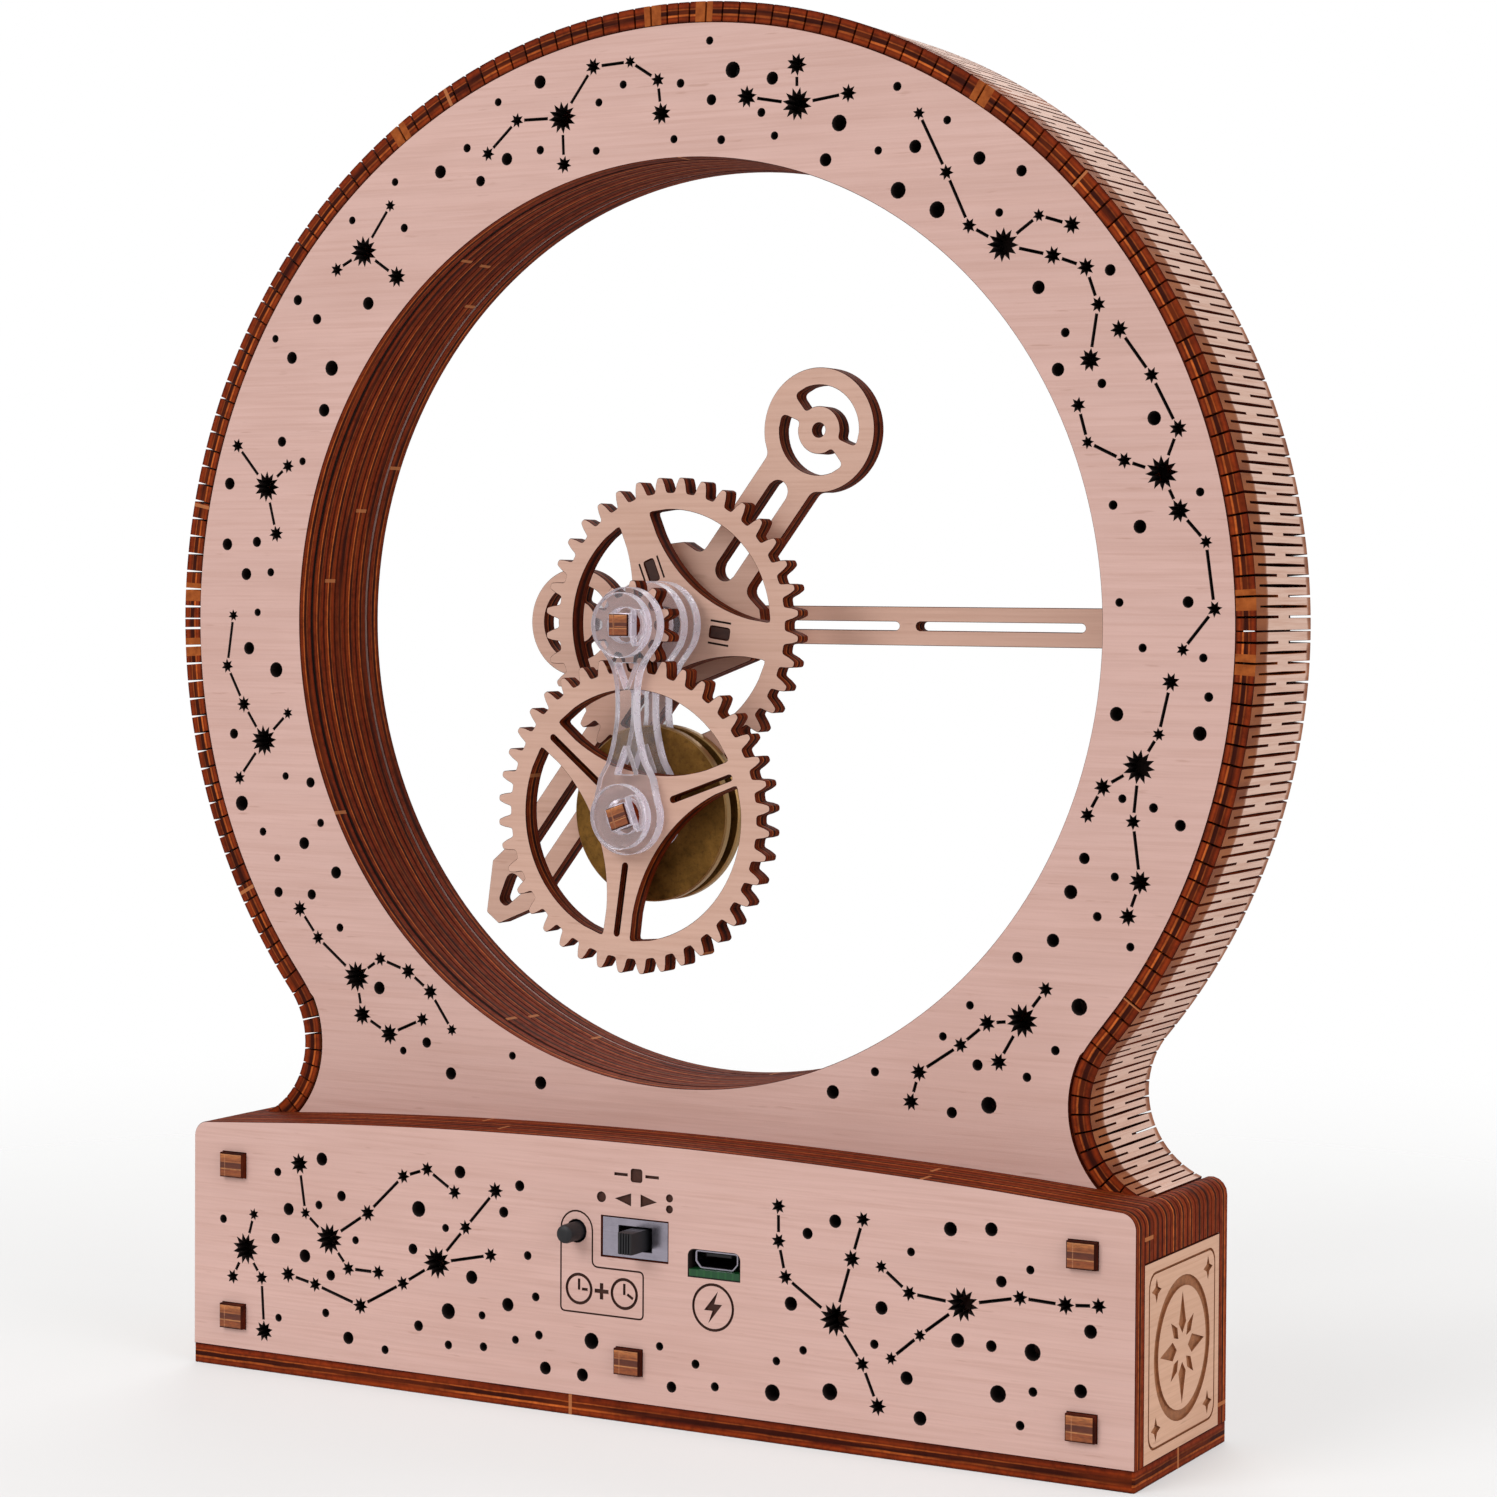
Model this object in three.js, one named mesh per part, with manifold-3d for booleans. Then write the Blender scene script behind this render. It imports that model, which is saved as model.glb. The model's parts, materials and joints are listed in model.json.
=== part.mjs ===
// Hollow ring clock kit cut from thin plywood, millimetres, +Z up.
// Origin: centre of the base's underside. The control side faces -Y and the dial side faces +Y.
// Depths in the source are counted from the ring case's rear face; one shift at the end centres
// the base on the origin.
// A toothed rotor ring hides inside the round case. The minute hand is fixed to it, and a
// weighted hanger on the rotor's arbor stays upright and gears the hour hand down by twelve.
import * as THREE from 'three';
import { mergeVertices } from 'three/addons/utils/BufferGeometryUtils.js';
import Module from 'manifold-3d';

// ---- Driving dimensions -------------------------------------------------------------------
const BOARD = 3;
const CLEAR = 0.3;

const RING_Z = 116.5;
const RING_INNER_R = 69;
const RING_PANEL_R = 88.5;
const RING_DEPTH = 7 * BOARD;
const BAND_GAP = 0.3;
const BAND_T = 3;

const NECK_X = 80.4;
const NECK_R = 16;

const BASE_HALF = 80;
const BASE_REAR_Y = -4 * BOARD;
const BASE_SHOULDER_Z = 38;
const BASE_ARCH_Z = 41;
const BASE_CORNER_R = 2.4;
const FOOT_HALF = 76.5;
const EAR_X = 76.3;
const PLAQUE_TOP_Z = 30.5;
const FRAME_SIDE_X = 66;
const FRAME_FLOOR_Z = 12;
const FRAME_TOP_Z = 33;
const ARCH_STEP = 15;
const BAY = { left: -20, right: 28, bottom: 14, top: 32 };

const PEG_WIDTH = 4.4;
const PEG_HEIGHT = 3.8;
const PEG_X = 72.2;
const PEG_HIGH_Z = 31.7;
const PEG_LOW_Z = 8.1;
const PEG_MID_Z = 9;
const PEG_PROUD = 1;

const ROTOR_BOARD = 2.8;
const ROTOR_Y = 3.5;
const ROTOR_OUTER_R = 78;
const ROTOR_TEETH = 108;
const ROTOR_MODULE = 1.5;
const DRIVE_TEETH = 12;
const DRIVE = { y: 6.1, width: 3.2, shaftR: 1, shaftY: 4.5, shaftLength: 8.5 };

const TRAIN_CENTRES = 27.7;
const CENTRAL_TEETH = 10;
const IDLER_TEETH = 40;
const IDLER_PINION_TEETH = 12;
const HOUR_TEETH = 36;
const AXLE_SIDE = 3.2;
const AXLE_HOLE_R = 2.6;

const HOUR_ANGLE = 232.6;
const WEIGHT_R = 12.95;
const WEIGHT_T = 1.5;

// Depths along Y of the pieces stacked on the arbor, from the control side to the dial side.
const Y_ARBOR = -16.1;
const Y_RETAINER = -15.9;
const Y_REAR_LINK = -14.2;
const Y_CENTRAL = -12.1;
const Y_MID_LINK = -9;
const Y_REAR_WEIGHT = -6.9;
const Y_FRONT_LINK = -5.3;
const Y_FRONT_WEIGHT = -3.2;
const Y_HOUR_GEAR = -1.5;
const Y_HOUR_HAND = 4;
const Y_MINUTE_HAND = ROTOR_Y + 3 * ROTOR_BOARD;
const LINK_T = 2;
const RETAINER_R = 4.75;
const RETAINER_T = 1.6;
const ARBOR_LENGTH = 32.1;
const IDLER_AXLE_LENGTH = 18;
const IDLER_AXLE_TURN = 20;

// Derived sizes.
const FRONT_Y = RING_DEPTH;
const NECK_Z = RING_Z - Math.sqrt((RING_PANEL_R + NECK_R) ** 2 - NECK_X ** 2);
const NECK_TURN = Math.atan2(NECK_Z - RING_Z, NECK_X);
const IDLER_Z = RING_Z - TRAIN_CENTRES;
const CENTRAL_MODULE = 2 * TRAIN_CENTRES / (CENTRAL_TEETH + IDLER_TEETH);
const HOUR_MODULE = 2 * TRAIN_CENTRES / (IDLER_PINION_TEETH + HOUR_TEETH);
const DRIVE_Z = RING_Z - ROTOR_MODULE * (ROTOR_TEETH + DRIVE_TEETH) / 2 - 0.1;
const rad = THREE.MathUtils.degToRad;

// ---- Materials ----------------------------------------------------------------------------
function finish(color, roughness, metalness = 0) {
  return new THREE.MeshStandardMaterial({ color, roughness, metalness });
}
const birch = finish(0xdebaa4, 0.7);
const innerBoard = finish(0x9a5f3c, 0.75);
const brass = finish(0x7c6430, 0.4, 1);
const acrylic = finish(0xe8e4ee, 0.15);
const steel = finish(0xb9bcc2, 0.35, 1);
const blackPlastic = finish(0x17171a, 0.5);
const greenBoard = finish(0x1f6b3a, 0.5);
const redCable = finish(0x8c1f1c, 0.6);

const clock = new THREE.Group();

// ---- Helpers ------------------------------------------------------------------------------
function add(name, geometry, material, x = 0, z = 0) {
  const mesh = new THREE.Mesh(geometry, material);
  mesh.name = name;
  mesh.position.set(x, 0, z);
  clock.add(mesh);
}

function shapeOf(points) {
  return new THREE.Shape(points.map(([x, z]) => new THREE.Vector2(x, z)));
}

function pathOf(points) {
  return new THREE.Path(points.map(([x, z]) => new THREE.Vector2(x, z)));
}

function rectangle(x0, z0, x1, z1) {
  return [[x0, z0], [x1, z0], [x1, z1], [x0, z1]];
}

function circle(radius, x = 0, z = 0) {
  const path = new THREE.Path();
  path.absarc(x, z, radius, 0, 2 * Math.PI, false);
  return path;
}

function disc(radius, ...holes) {
  const shape = new THREE.Shape();
  shape.absarc(0, 0, radius, 0, 2 * Math.PI, false);
  shape.holes.push(...holes);
  return shape;
}

// Hole for a square axle that is turned by some degrees.
function axleHole(degrees = 0) {
  const half = AXLE_SIDE / 2;
  return pathOf(turned(rectangle(-half, -half, half, half), rad(degrees)));
}

function polar(radius, angle, x = 0, z = 0) {
  return [x + radius * Math.cos(angle), z + radius * Math.sin(angle)];
}

// Points of an arc about (x, z), both ends included.
function arc(x, z, radius, from, to, steps) {
  const points = [];
  for (let i = 0; i <= steps; i += 1) {
    points.push(polar(radius, from + (to - from) * i / steps, x, z));
  }
  return points;
}

function mirrored(points) {
  return points.map(([x, z]) => [-x, z]).reverse();
}

function turned(points, angle) {
  const cos = Math.cos(angle);
  const sin = Math.sin(angle);
  return points.map(([x, z]) => [x * cos - z * sin, x * sin + z * cos]);
}

// Round-ended slot along X from x0 to x1.
function slot(x0, x1, halfWidth, z = 0) {
  const right = arc(x1 - halfWidth, z, halfWidth, -Math.PI / 2, Math.PI / 2, 5);
  const left = arc(x0 + halfWidth, z, halfWidth, Math.PI / 2, 3 * Math.PI / 2, 5);
  return right.concat(left);
}

// Slot bent along an arc about (x, z), between two radii.
function arcSlot(x, z, inner, outer, from, to) {
  return arc(x, z, outer, from, to, 8).concat(arc(x, z, inner, to, from, 8));
}

// ---- Manifold join and cut ----------------------------------------------------------------
const wasm = await Module();
wasm.setup();

function solidOf(geometry) {
  const bare = geometry.clone();
  bare.deleteAttribute('normal');
  bare.deleteAttribute('uv');
  const merged = mergeVertices(bare, 1e-4);
  const vertProperties = new Float32Array(merged.attributes.position.array);
  const triVerts = new Uint32Array(merged.index.array);
  return new wasm.Manifold(new wasm.Mesh({ numProp: 3, vertProperties, triVerts }));
}

function geometryOf(solid) {
  const mesh = solid.getMesh();
  const geometry = new THREE.BufferGeometry();
  geometry.setAttribute('position', new THREE.BufferAttribute(mesh.vertProperties, 3));
  geometry.setIndex(new THREE.BufferAttribute(mesh.triVerts, 1));
  geometry.computeVertexNormals();
  return geometry;
}

function joined(...geometries) {
  const solids = geometries.map(solidOf);
  return geometryOf(solids.reduce((whole, next) => whole.add(next)));
}

// A flat board: the shape is drawn in X and Z, and the board runs from y to y + thickness.
// Its holes are cut right through.
function board(shape, y, thickness = BOARD, segments = 12) {
  const slab = (points, depth) => {
    const options = { depth, bevelEnabled: false, curveSegments: segments };
    return new THREE.ExtrudeGeometry(new THREE.Shape(points), options);
  };
  const blank = slab(shape.getPoints(segments), thickness);
  const cutters = shape.holes.map((hole) => {
    const cutter = slab(hole.getPoints(segments), thickness + 2);
    return cutter.translate(0, 0, -1);
  });
  const solid = cutters.reduce((whole, cutter) => whole.subtract(solidOf(cutter)), solidOf(blank));
  const geometry = geometryOf(solid);
  geometry.rotateX(Math.PI / 2);
  geometry.translate(0, y + thickness, 0);
  return geometry;
}

// ---- Case outlines ------------------------------------------------------------------------
// Half outline of a ring panel's edge, from the foot at foot x up the neck to the top, at a
// distance outside the panel's edge.
function neckAngle(x, offset) {
  return Math.PI + Math.acos((NECK_X - x) / (NECK_R - offset));
}

function neckEdge(x, offset, steps = 12) {
  const radius = NECK_R - offset;
  return arc(NECK_X, NECK_Z, radius, neckAngle(x, offset), Math.PI + NECK_TURN, steps);
}

// Rounded ear of the base beside the neck, from the side face over the corner and down.
function shoulderEar() {
  const cornerX = BASE_HALF - BASE_CORNER_R;
  const cornerZ = BASE_SHOULDER_Z - BASE_CORNER_R;
  const end = Math.acos((EAR_X - cornerX) / BASE_CORNER_R);
  return arc(cornerX, cornerZ, BASE_CORNER_R, 0, end, 6);
}

const plaqueStep = [[FOOT_HALF, BOARD], [FOOT_HALF, PLAQUE_TOP_Z + 0.2],
  [BASE_HALF, PLAQUE_TOP_Z + 0.2]];

function pegHoles() {
  const places = [[0, PEG_MID_Z]];
  for (const x of [-PEG_X, PEG_X]) {
    places.push([x, PEG_LOW_Z], [x, PEG_HIGH_Z]);
  }
  const [half, high] = [PEG_WIDTH / 2 + 0.05, PEG_HEIGHT / 2 + 0.05];
  return places.map(([x, z]) => pathOf(rectangle(x - half, z - high, x + half, z + high)));
}

function ringPanelShape(footSide) {
  const neck = neckEdge(footSide.foot, 0);
  const top = arc(0, RING_Z, RING_PANEL_R, NECK_TURN, Math.PI - NECK_TURN, 72);
  const right = footSide.points.concat(neck.slice(0, -1));
  const outline = right.concat(top, mirrored(right));
  const shape = shapeOf(outline);
  shape.holes.push(circle(RING_INNER_R, 0, RING_Z), ...pegHoles());
  return shape;
}

// Base outline: straight foot, rounded shoulders and a shallow arched top.
function baseOutline(lowerRight) {
  const cornerX = BASE_HALF - BASE_CORNER_R;
  const cornerZ = BASE_SHOULDER_Z - BASE_CORNER_R;
  const corner = arc(cornerX, cornerZ, BASE_CORNER_R, 0, Math.PI / 2, 6);
  const rise = BASE_ARCH_Z - BASE_SHOULDER_Z;
  const arch = [];
  for (let x = 4 * ARCH_STEP; x >= 0; x -= ARCH_STEP) {
    arch.push([x, BASE_SHOULDER_Z + rise * (1 - (x / cornerX) ** 2)]);
  }
  const right = lowerRight.concat(corner, arch);
  return shapeOf(right.concat(mirrored(right).slice(1)));
}

// ---- Base ---------------------------------------------------------------------------------
const SWITCH = { x: 0.8, z: 27, halfX: 5.6, halfZ: 2.9, slotX: 2.8, slotZ: 1.75, play: 0.1 };
const KNOB = { width: 2.6, height: 3.1, y: -16, length: 8.3, restX: 0.7 };
const USB = { x: 14.2, z: 25, halfX: 3.6, halfZ: 1.35, wall: 0.35, y: -11.2, length: 5.2 };
const USB_WINDOW = { halfX: 4.3, below: 2.5, above: 1.5, corner: 1 };
const BUTTON = { x: -9.2, z: 27.3, radius: 1.4, y: -15.6, length: 9, bodyHalf: 3, bodyY: -8.8 };
const CIRCUIT = { x: 4, z: 23.1, width: 38, rearY: -8.8, length: 7.6, thickness: 1 };
const TONGUE = { width: 8.4, rearY: -11.9, length: 3.8 };
const SWITCH_Y = -11.8;
const SWITCH_LENGTH = 4.4;
const BUTTON_BODY_LENGTH = 3.6;

function switchWindow() {
  const { x, z, halfX, halfZ, play } = SWITCH;
  return rectangle(x - halfX - play, z - halfZ - play, x + halfX + play, z + halfZ + play);
}

function usbWindow() {
  const { halfX, below, above, corner } = USB_WINDOW;
  const left = USB.x - halfX;
  const right = USB.x + halfX;
  const top = USB.z + above;
  return [[left, USB.z - below], [right, USB.z - below]].concat(
    arc(right - corner, top - corner, corner, 0, Math.PI / 2, 5),
    arc(left + corner, top - corner, corner, Math.PI / 2, Math.PI, 5),
  );
}

function makeBase() {
  const depth = FRONT_Y - BASE_REAR_Y;
  const floor = new THREE.BoxGeometry(2 * BASE_HALF, depth, BOARD);
  floor.translate(0, (BASE_REAR_Y + FRONT_Y) / 2, BOARD / 2);
  add('base_bottom_plate', floor, birch);

  const plate = baseOutline([[BASE_HALF, BOARD]]);
  plate.holes.push(pathOf(switchWindow()), pathOf(usbWindow()), ...pegHoles());
  plate.holes.push(circle(BUTTON.radius + CLEAR, BUTTON.x, BUTTON.z));
  add('base_rear_plate', board(plate, BASE_REAR_Y, BOARD, 8), birch);

  for (let i = 1; i <= 3; i += 1) {
    const rib = baseOutline(plaqueStep);
    const opening = rectangle(-FRAME_SIDE_X, FRAME_FLOOR_Z, FRAME_SIDE_X, FRAME_TOP_Z);
    rib.holes.push(pathOf(opening), ...pegHoles());
    add(`base_rib_${i}`, board(rib, BASE_REAR_Y + i * BOARD), innerBoard);
  }

  for (const [side, sign] of [['left', -1], ['right', 1]]) {
    const length = 6 * BOARD - BASE_REAR_Y - BOARD;
    const plaque = new THREE.BoxGeometry(BASE_HALF - FOOT_HALF - 0.1, length, PLAQUE_TOP_Z - BOARD);
    const x = sign * (BASE_HALF + FOOT_HALF + 0.1) / 2;
    plaque.translate(x, BASE_REAR_Y + BOARD + length / 2, (BOARD + PLAQUE_TOP_Z) / 2);
    add(`${side}_end_plaque`, plaque, birch);
  }
}

function makePegs() {
  const places = {
    tie_peg_middle: [0, PEG_MID_Z],
    tie_peg_lower_left: [-PEG_X, PEG_LOW_Z],
    tie_peg_upper_left: [-PEG_X, PEG_HIGH_Z],
    tie_peg_lower_right: [PEG_X, PEG_LOW_Z],
    tie_peg_upper_right: [PEG_X, PEG_HIGH_Z],
  };
  const length = FRONT_Y - BASE_REAR_Y + PEG_PROUD;
  for (const [name, [x, z]] of Object.entries(places)) {
    const peg = new THREE.BoxGeometry(PEG_WIDTH, length, PEG_HEIGHT);
    peg.translate(x, BASE_REAR_Y - PEG_PROUD + length / 2, z);
    add(name, peg, innerBoard);
  }
}

// ---- Ring case ----------------------------------------------------------------------------
function makePanels() {
  const rear = ringPanelShape({ foot: EAR_X, points: plaqueStep.concat(shoulderEar()) });
  rear.holes.push(pathOf(rectangle(BAY.left, BAY.bottom, BAY.right, BAY.top)));
  add('ring_rear_panel', board(rear, 0, BOARD, 36), birch);

  const side = [[BASE_HALF, BOARD]].concat(shoulderEar());
  const front = ringPanelShape({ foot: EAR_X, points: side });
  add('front_panel', board(front, FRONT_Y - BOARD, BOARD, 36), birch);
}

// U-shaped spacer boards: two shoulders under the necks, joined along the floor.
function makeSpacers() {
  const inner = neckEdge(EAR_X, 0, 12).filter(([x, z]) => x >= FRAME_SIDE_X && z < NECK_Z);
  const right = plaqueStep.concat(shoulderEar(), inner);
  const corner = [[FRAME_SIDE_X, FRAME_FLOOR_Z]];
  const outline = right.concat(corner, mirrored(right.concat(corner)));
  for (let i = 1; i <= 5; i += 1) {
    const shape = shapeOf(outline);
    shape.holes.push(...pegHoles());
    add(`case_spacer_${i}`, board(shape, i * BOARD), innerBoard);
  }
}

// Rim band strips, bent round the case between the two panels' outer faces.
function makeBands() {
  const inner = RING_PANEL_R + BAND_GAP;
  const outer = inner + BAND_T;
  const seam = 0.1 / outer;
  const low = NECK_TURN;
  const quarter = arc(0, RING_Z, outer, seam, Math.PI / 2 - seam, 24)
    .concat(arc(0, RING_Z, inner, Math.PI / 2 - seam, seam, 24));
  const foot = FOOT_HALF - 0.5;
  const outerNeck = neckEdge(foot, BAND_GAP + BAND_T, 10);
  const innerNeck = neckEdge(foot, BAND_GAP, 10).reverse();
  const strip = outerNeck.concat(
    arc(0, RING_Z, outer, low, -seam, 12).slice(1),
    arc(0, RING_Z, inner, -seam, low, 12),
    innerNeck.slice(1),
  );
  const pieces = {
    rim_band_upper_right: quarter,
    rim_band_upper_left: mirrored(quarter),
    rim_band_lower_right: strip,
    rim_band_lower_left: mirrored(strip),
  };
  for (const [name, points] of Object.entries(pieces)) {
    add(name, board(shapeOf(points), 0, RING_DEPTH), birch);
  }
}

// ---- Gears --------------------------------------------------------------------------------
// One tooth as heights in modules and shares of the pitch, from the root over the tip.
const shapedTooth = [[-1.1, -0.31], [0, -0.215], [0.85, -0.11],
  [0.85, 0.11], [0, 0.215], [-1.1, 0.31]];
const plainTooth = [[-1.25, -0.33], [0.95, -0.09], [0.95, 0.09], [-1.25, 0.33]];

// Gear outline; toothAngle is where one tooth is centred.
function gearPoints(teeth, module, toothAngle, profile = shapedTooth) {
  const pitchR = teeth * module / 2;
  const points = [];
  for (let i = 0; i < teeth; i += 1) {
    for (const [height, share] of profile) {
      const angle = toothAngle + (i + share) * 2 * Math.PI / teeth;
      points.push(polar(pitchR + height * module, angle));
    }
  }
  return points;
}

// Opening between two spokes: outside by the rim, inside by an arc that sweeps past the hub.
function spokeOpening(rimR, hubR, sweepR, middle) {
  const centre = hubR + sweepR;
  const cosine = (rimR ** 2 + centre ** 2 - sweepR ** 2) / (2 * rimR * centre);
  const half = Math.acos(cosine);
  const end = Math.atan2(rimR * Math.sin(half), centre - rimR * cosine);
  const rim = arc(0, 0, rimR, middle - half, middle + half, 10);
  const [x, z] = polar(centre, middle);
  const sweep = arc(x, z, sweepR, middle + Math.PI - end, middle + Math.PI + end, 8);
  return rim.concat(sweep.slice(1, -1));
}

// Section of the tabs that tie the hour gear to the hour hand, with a margin for their holes.
const TAB_SPOKES = [112, 232, 352];
function tabSection(margin) {
  return rectangle(6.9 - margin, -0.85 - margin, 10.2 + margin, 0.85 + margin);
}

function makeHourGear() {
  const shape = shapeOf(gearPoints(HOUR_TEETH, HOUR_MODULE, rad(-85)));
  for (const spoke of TAB_SPOKES) {
    shape.holes.push(pathOf(spokeOpening(17, 6.8, 23.6, rad(spoke + 60))));
    shape.holes.push(pathOf(turned(tabSection(0.05), rad(spoke))));
  }
  shape.holes.push(circle(AXLE_HOLE_R));
  add('hour_gear', board(shape, Y_HOUR_GEAR, BOARD, 8), birch, 0, RING_Z);
}

function makeIdlerGear() {
  const shape = shapeOf(gearPoints(IDLER_TEETH, CENTRAL_MODULE, rad(94.5)));
  for (const spoke of [20, 141, 262]) {
    shape.holes.push(pathOf(spokeOpening(18.3, 6.4, 25.6, rad(spoke + 60.5))));
    shape.holes.push(pathOf(turned(slot(7, 17.9, 0.45), rad(spoke))));
  }
  shape.holes.push(axleHole(IDLER_AXLE_TURN));
  add('idler_gear', board(shape, Y_CENTRAL), birch, 0, IDLER_Z);
}

function makePinions() {
  const central = shapeOf(gearPoints(CENTRAL_TEETH, CENTRAL_MODULE, rad(-90)));
  central.holes.push(axleHole());
  add('central_pinion', board(central, Y_CENTRAL), birch, 0, RING_Z);

  const second = shapeOf(gearPoints(IDLER_PINION_TEETH, HOUR_MODULE, rad(90)));
  second.holes.push(axleHole(IDLER_AXLE_TURN));
  add('idler_pinion', board(second, Y_HOUR_GEAR), birch, 0, IDLER_Z);

  const teeth = shapeOf(gearPoints(DRIVE_TEETH, ROTOR_MODULE, rad(90)));
  const drive = board(teeth, DRIVE.y, DRIVE.width);
  const shaft = board(disc(DRIVE.shaftR), DRIVE.shaftY, DRIVE.shaftLength, 6);
  add('drive_pinion', joined(drive, shaft), birch, 0, DRIVE_Z);
}

// ---- Rotor --------------------------------------------------------------------------------
function makeRotor() {
  const inner = RING_INNER_R;
  const rings = ['rotor_rear_ring', 'rotor_gear_ring', 'rotor_mid_ring', 'rotor_hand_ring',
    'rotor_front_ring'];
  rings.forEach((name, i) => {
    let shape = disc(ROTOR_OUTER_R, circle(inner));
    if (name === 'rotor_gear_ring') {
      const toothAngle = rad(-90) + Math.PI / ROTOR_TEETH;
      shape = shapeOf(gearPoints(ROTOR_TEETH, ROTOR_MODULE, toothAngle, plainTooth));
      shape.holes.push(circle(inner));
    }
    if (name === 'rotor_hand_ring') {
      const mouth = Math.asin(2.95 / inner);
      const bore = arc(0, 0, inner, 2 * Math.PI - mouth, mouth, 64);
      shape = disc(ROTOR_OUTER_R, pathOf(bore.concat([[74, 2.95], [74, -2.95]])));
    }
    add(name, board(shape, ROTOR_Y + i * ROTOR_BOARD, ROTOR_BOARD, 26), innerBoard, 0, RING_Z);
  });
}

// Minute hand: bar out to the rotor ring, a round hub and a ringed tail.
function makeMinuteHand() {
  const half = 2.85;
  const hubR = 6.5;
  const tailX = -24.8;
  const tailR = 8.3;
  const atHub = Math.asin(half / hubR);
  const atTail = Math.asin(half / tailR);
  const outline = [[73.9, -half], [73.9, half]].concat(
    arc(0, 0, hubR, atHub, Math.PI - atHub, 8),
    arc(tailX, 0, tailR, atTail, 2 * Math.PI - atTail, 24),
    arc(0, 0, hubR, Math.PI + atHub, 2 * Math.PI - atHub, 8),
  );
  const shape = shapeOf(outline);
  shape.holes.push(axleHole(), circle(1.1, tailX, 0));
  shape.holes.push(pathOf(slot(8.5, 31.3, 0.65)), pathOf(slot(34, 61.2, 0.65)));
  for (const from of [-75, 105]) {
    shape.holes.push(pathOf(arcSlot(tailX, 0, 3.4, 6, rad(from), rad(from + 150))));
  }
  add('minute_hand', board(shape, Y_MINUTE_HAND, ROTOR_BOARD, 6), birch, 0, RING_Z);
}

// Hour hand, drawn with its tip along +X: arrow tip, twin bars, horned hub and ringed tail.
function makeHourHand() {
  const barHalf = 4.65;
  const tailX = -36;
  const tailR = 9.15;
  const atTail = Math.asin(barHalf / tailR);
  const tail = arc(tailX, 0, tailR, atTail, Math.PI, 12);
  const upper = [[57.5, 1.4], [50.5, 5.4], [47, barHalf], [10.5, barHalf], [6.2, 6.4],
    [-2.2, 11.6], [-4.6, 11.5], [-7.2, 10.3], [-9.2, 8.2], [-9.6, barHalf]].concat(tail);
  const lower = upper.slice(0, -1).map(([x, z]) => [x, -z]).reverse();
  const turn = rad(HOUR_ANGLE);
  const shape = shapeOf(turned(upper.concat(lower), turn));
  const arrow = [[49.5, -2.2], [54.6, -0.8], [54.6, 0.8], [49.5, 2.2]];
  const holes = [slot(12.5, 47, 1.7), slot(-26.5, -8.5, 1.7), arrow];
  for (const from of [-75, 105]) {
    holes.push(arcSlot(tailX, 0, 3.5, 6.6, rad(from), rad(from + 150)));
  }
  for (const spoke of TAB_SPOKES) {
    holes.push(turned(tabSection(0.05), rad(spoke) - turn));
  }
  shape.holes.push(...holes.map((points) => pathOf(turned(points, turn))));
  shape.holes.push(circle(AXLE_HOLE_R), circle(1.1, ...polar(-tailX, turn + Math.PI)));
  add('hour_hand', board(shape, Y_HOUR_HAND, BOARD, 6), birch, 0, RING_Z);

  const start = Y_HOUR_GEAR + 0.15;
  const length = Y_HOUR_HAND + BOARD + 0.2 - start;
  TAB_SPOKES.forEach((spoke, i) => {
    const points = turned(tabSection(0), rad(spoke));
    add(`hour_tab_${i + 1}`, board(shapeOf(points), start, length), birch, 0, RING_Z);
  });
}

// ---- Arbor, hanger and weights ------------------------------------------------------------
function makeAxles() {
  const half = AXLE_SIDE / 2 - 0.02;
  const square = rectangle(-half, -half, half, half);
  const turnedSquare = turned(square, rad(IDLER_AXLE_TURN));
  add('arbor', board(shapeOf(square), Y_ARBOR, ARBOR_LENGTH), innerBoard, 0, RING_Z);
  const idler = board(shapeOf(turnedSquare), Y_ARBOR, IDLER_AXLE_LENGTH);
  add('idler_axle', idler, innerBoard, 0, IDLER_Z);
  makeRetainer('upper_retainer', 0, RING_Z);
  makeRetainer('lower_retainer', IDLER_AXLE_TURN, IDLER_Z);
}

// Clear disc that grips its axle with the thin spring beside a hook-shaped slot.
function makeRetainer(name, degrees, z) {
  const spring = AXLE_SIDE / 2 + 0.55;
  const inner = [[spring, 2.2], [spring, -2.4], [spring + 0.3, -2.95]];
  const outer = arc(0, 0, RETAINER_R - 0.75, rad(-45), rad(33), 6);
  const hook = pathOf(turned(inner.concat(outer), rad(degrees)));
  const plate = disc(RETAINER_R, axleHole(degrees), hook);
  add(name, board(plate, Y_RETAINER, RETAINER_T, 14), acrylic, 0, z);
}

// Clear link: two round heads joined by a waisted bar, drawn about the arbor.
function linkShape(headR) {
  const footR = 5.65;
  const waist = 1.6;
  const foot = arc(0, -TRAIN_CENTRES, footR, rad(-90), rad(25), 9);
  const head = arc(0, 0, headR, rad(-45), rad(90), 9);
  const ankle = [[0.78, 0.97], [0.55, 1.36], [0.36, 2.02]];
  const neck = [[0.35, 1.35], [0.51, 0.97]];
  const right = foot.concat(
    ankle.map(([x, z]) => [x * footR, z * footR - TRAIN_CENTRES]),
    [[waist, -13.2], [waist, -10]],
    neck.map(([x, z]) => [x * headR, -z * headR]),
    head,
  );
  const left = right.slice(1, -1).map(([x, z]) => [-x, z]).reverse();
  const shape = shapeOf(right.concat(left));
  shape.holes.push(circle(AXLE_HOLE_R), circle(AXLE_HOLE_R, 0, -TRAIN_CENTRES));
  return shape;
}

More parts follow.
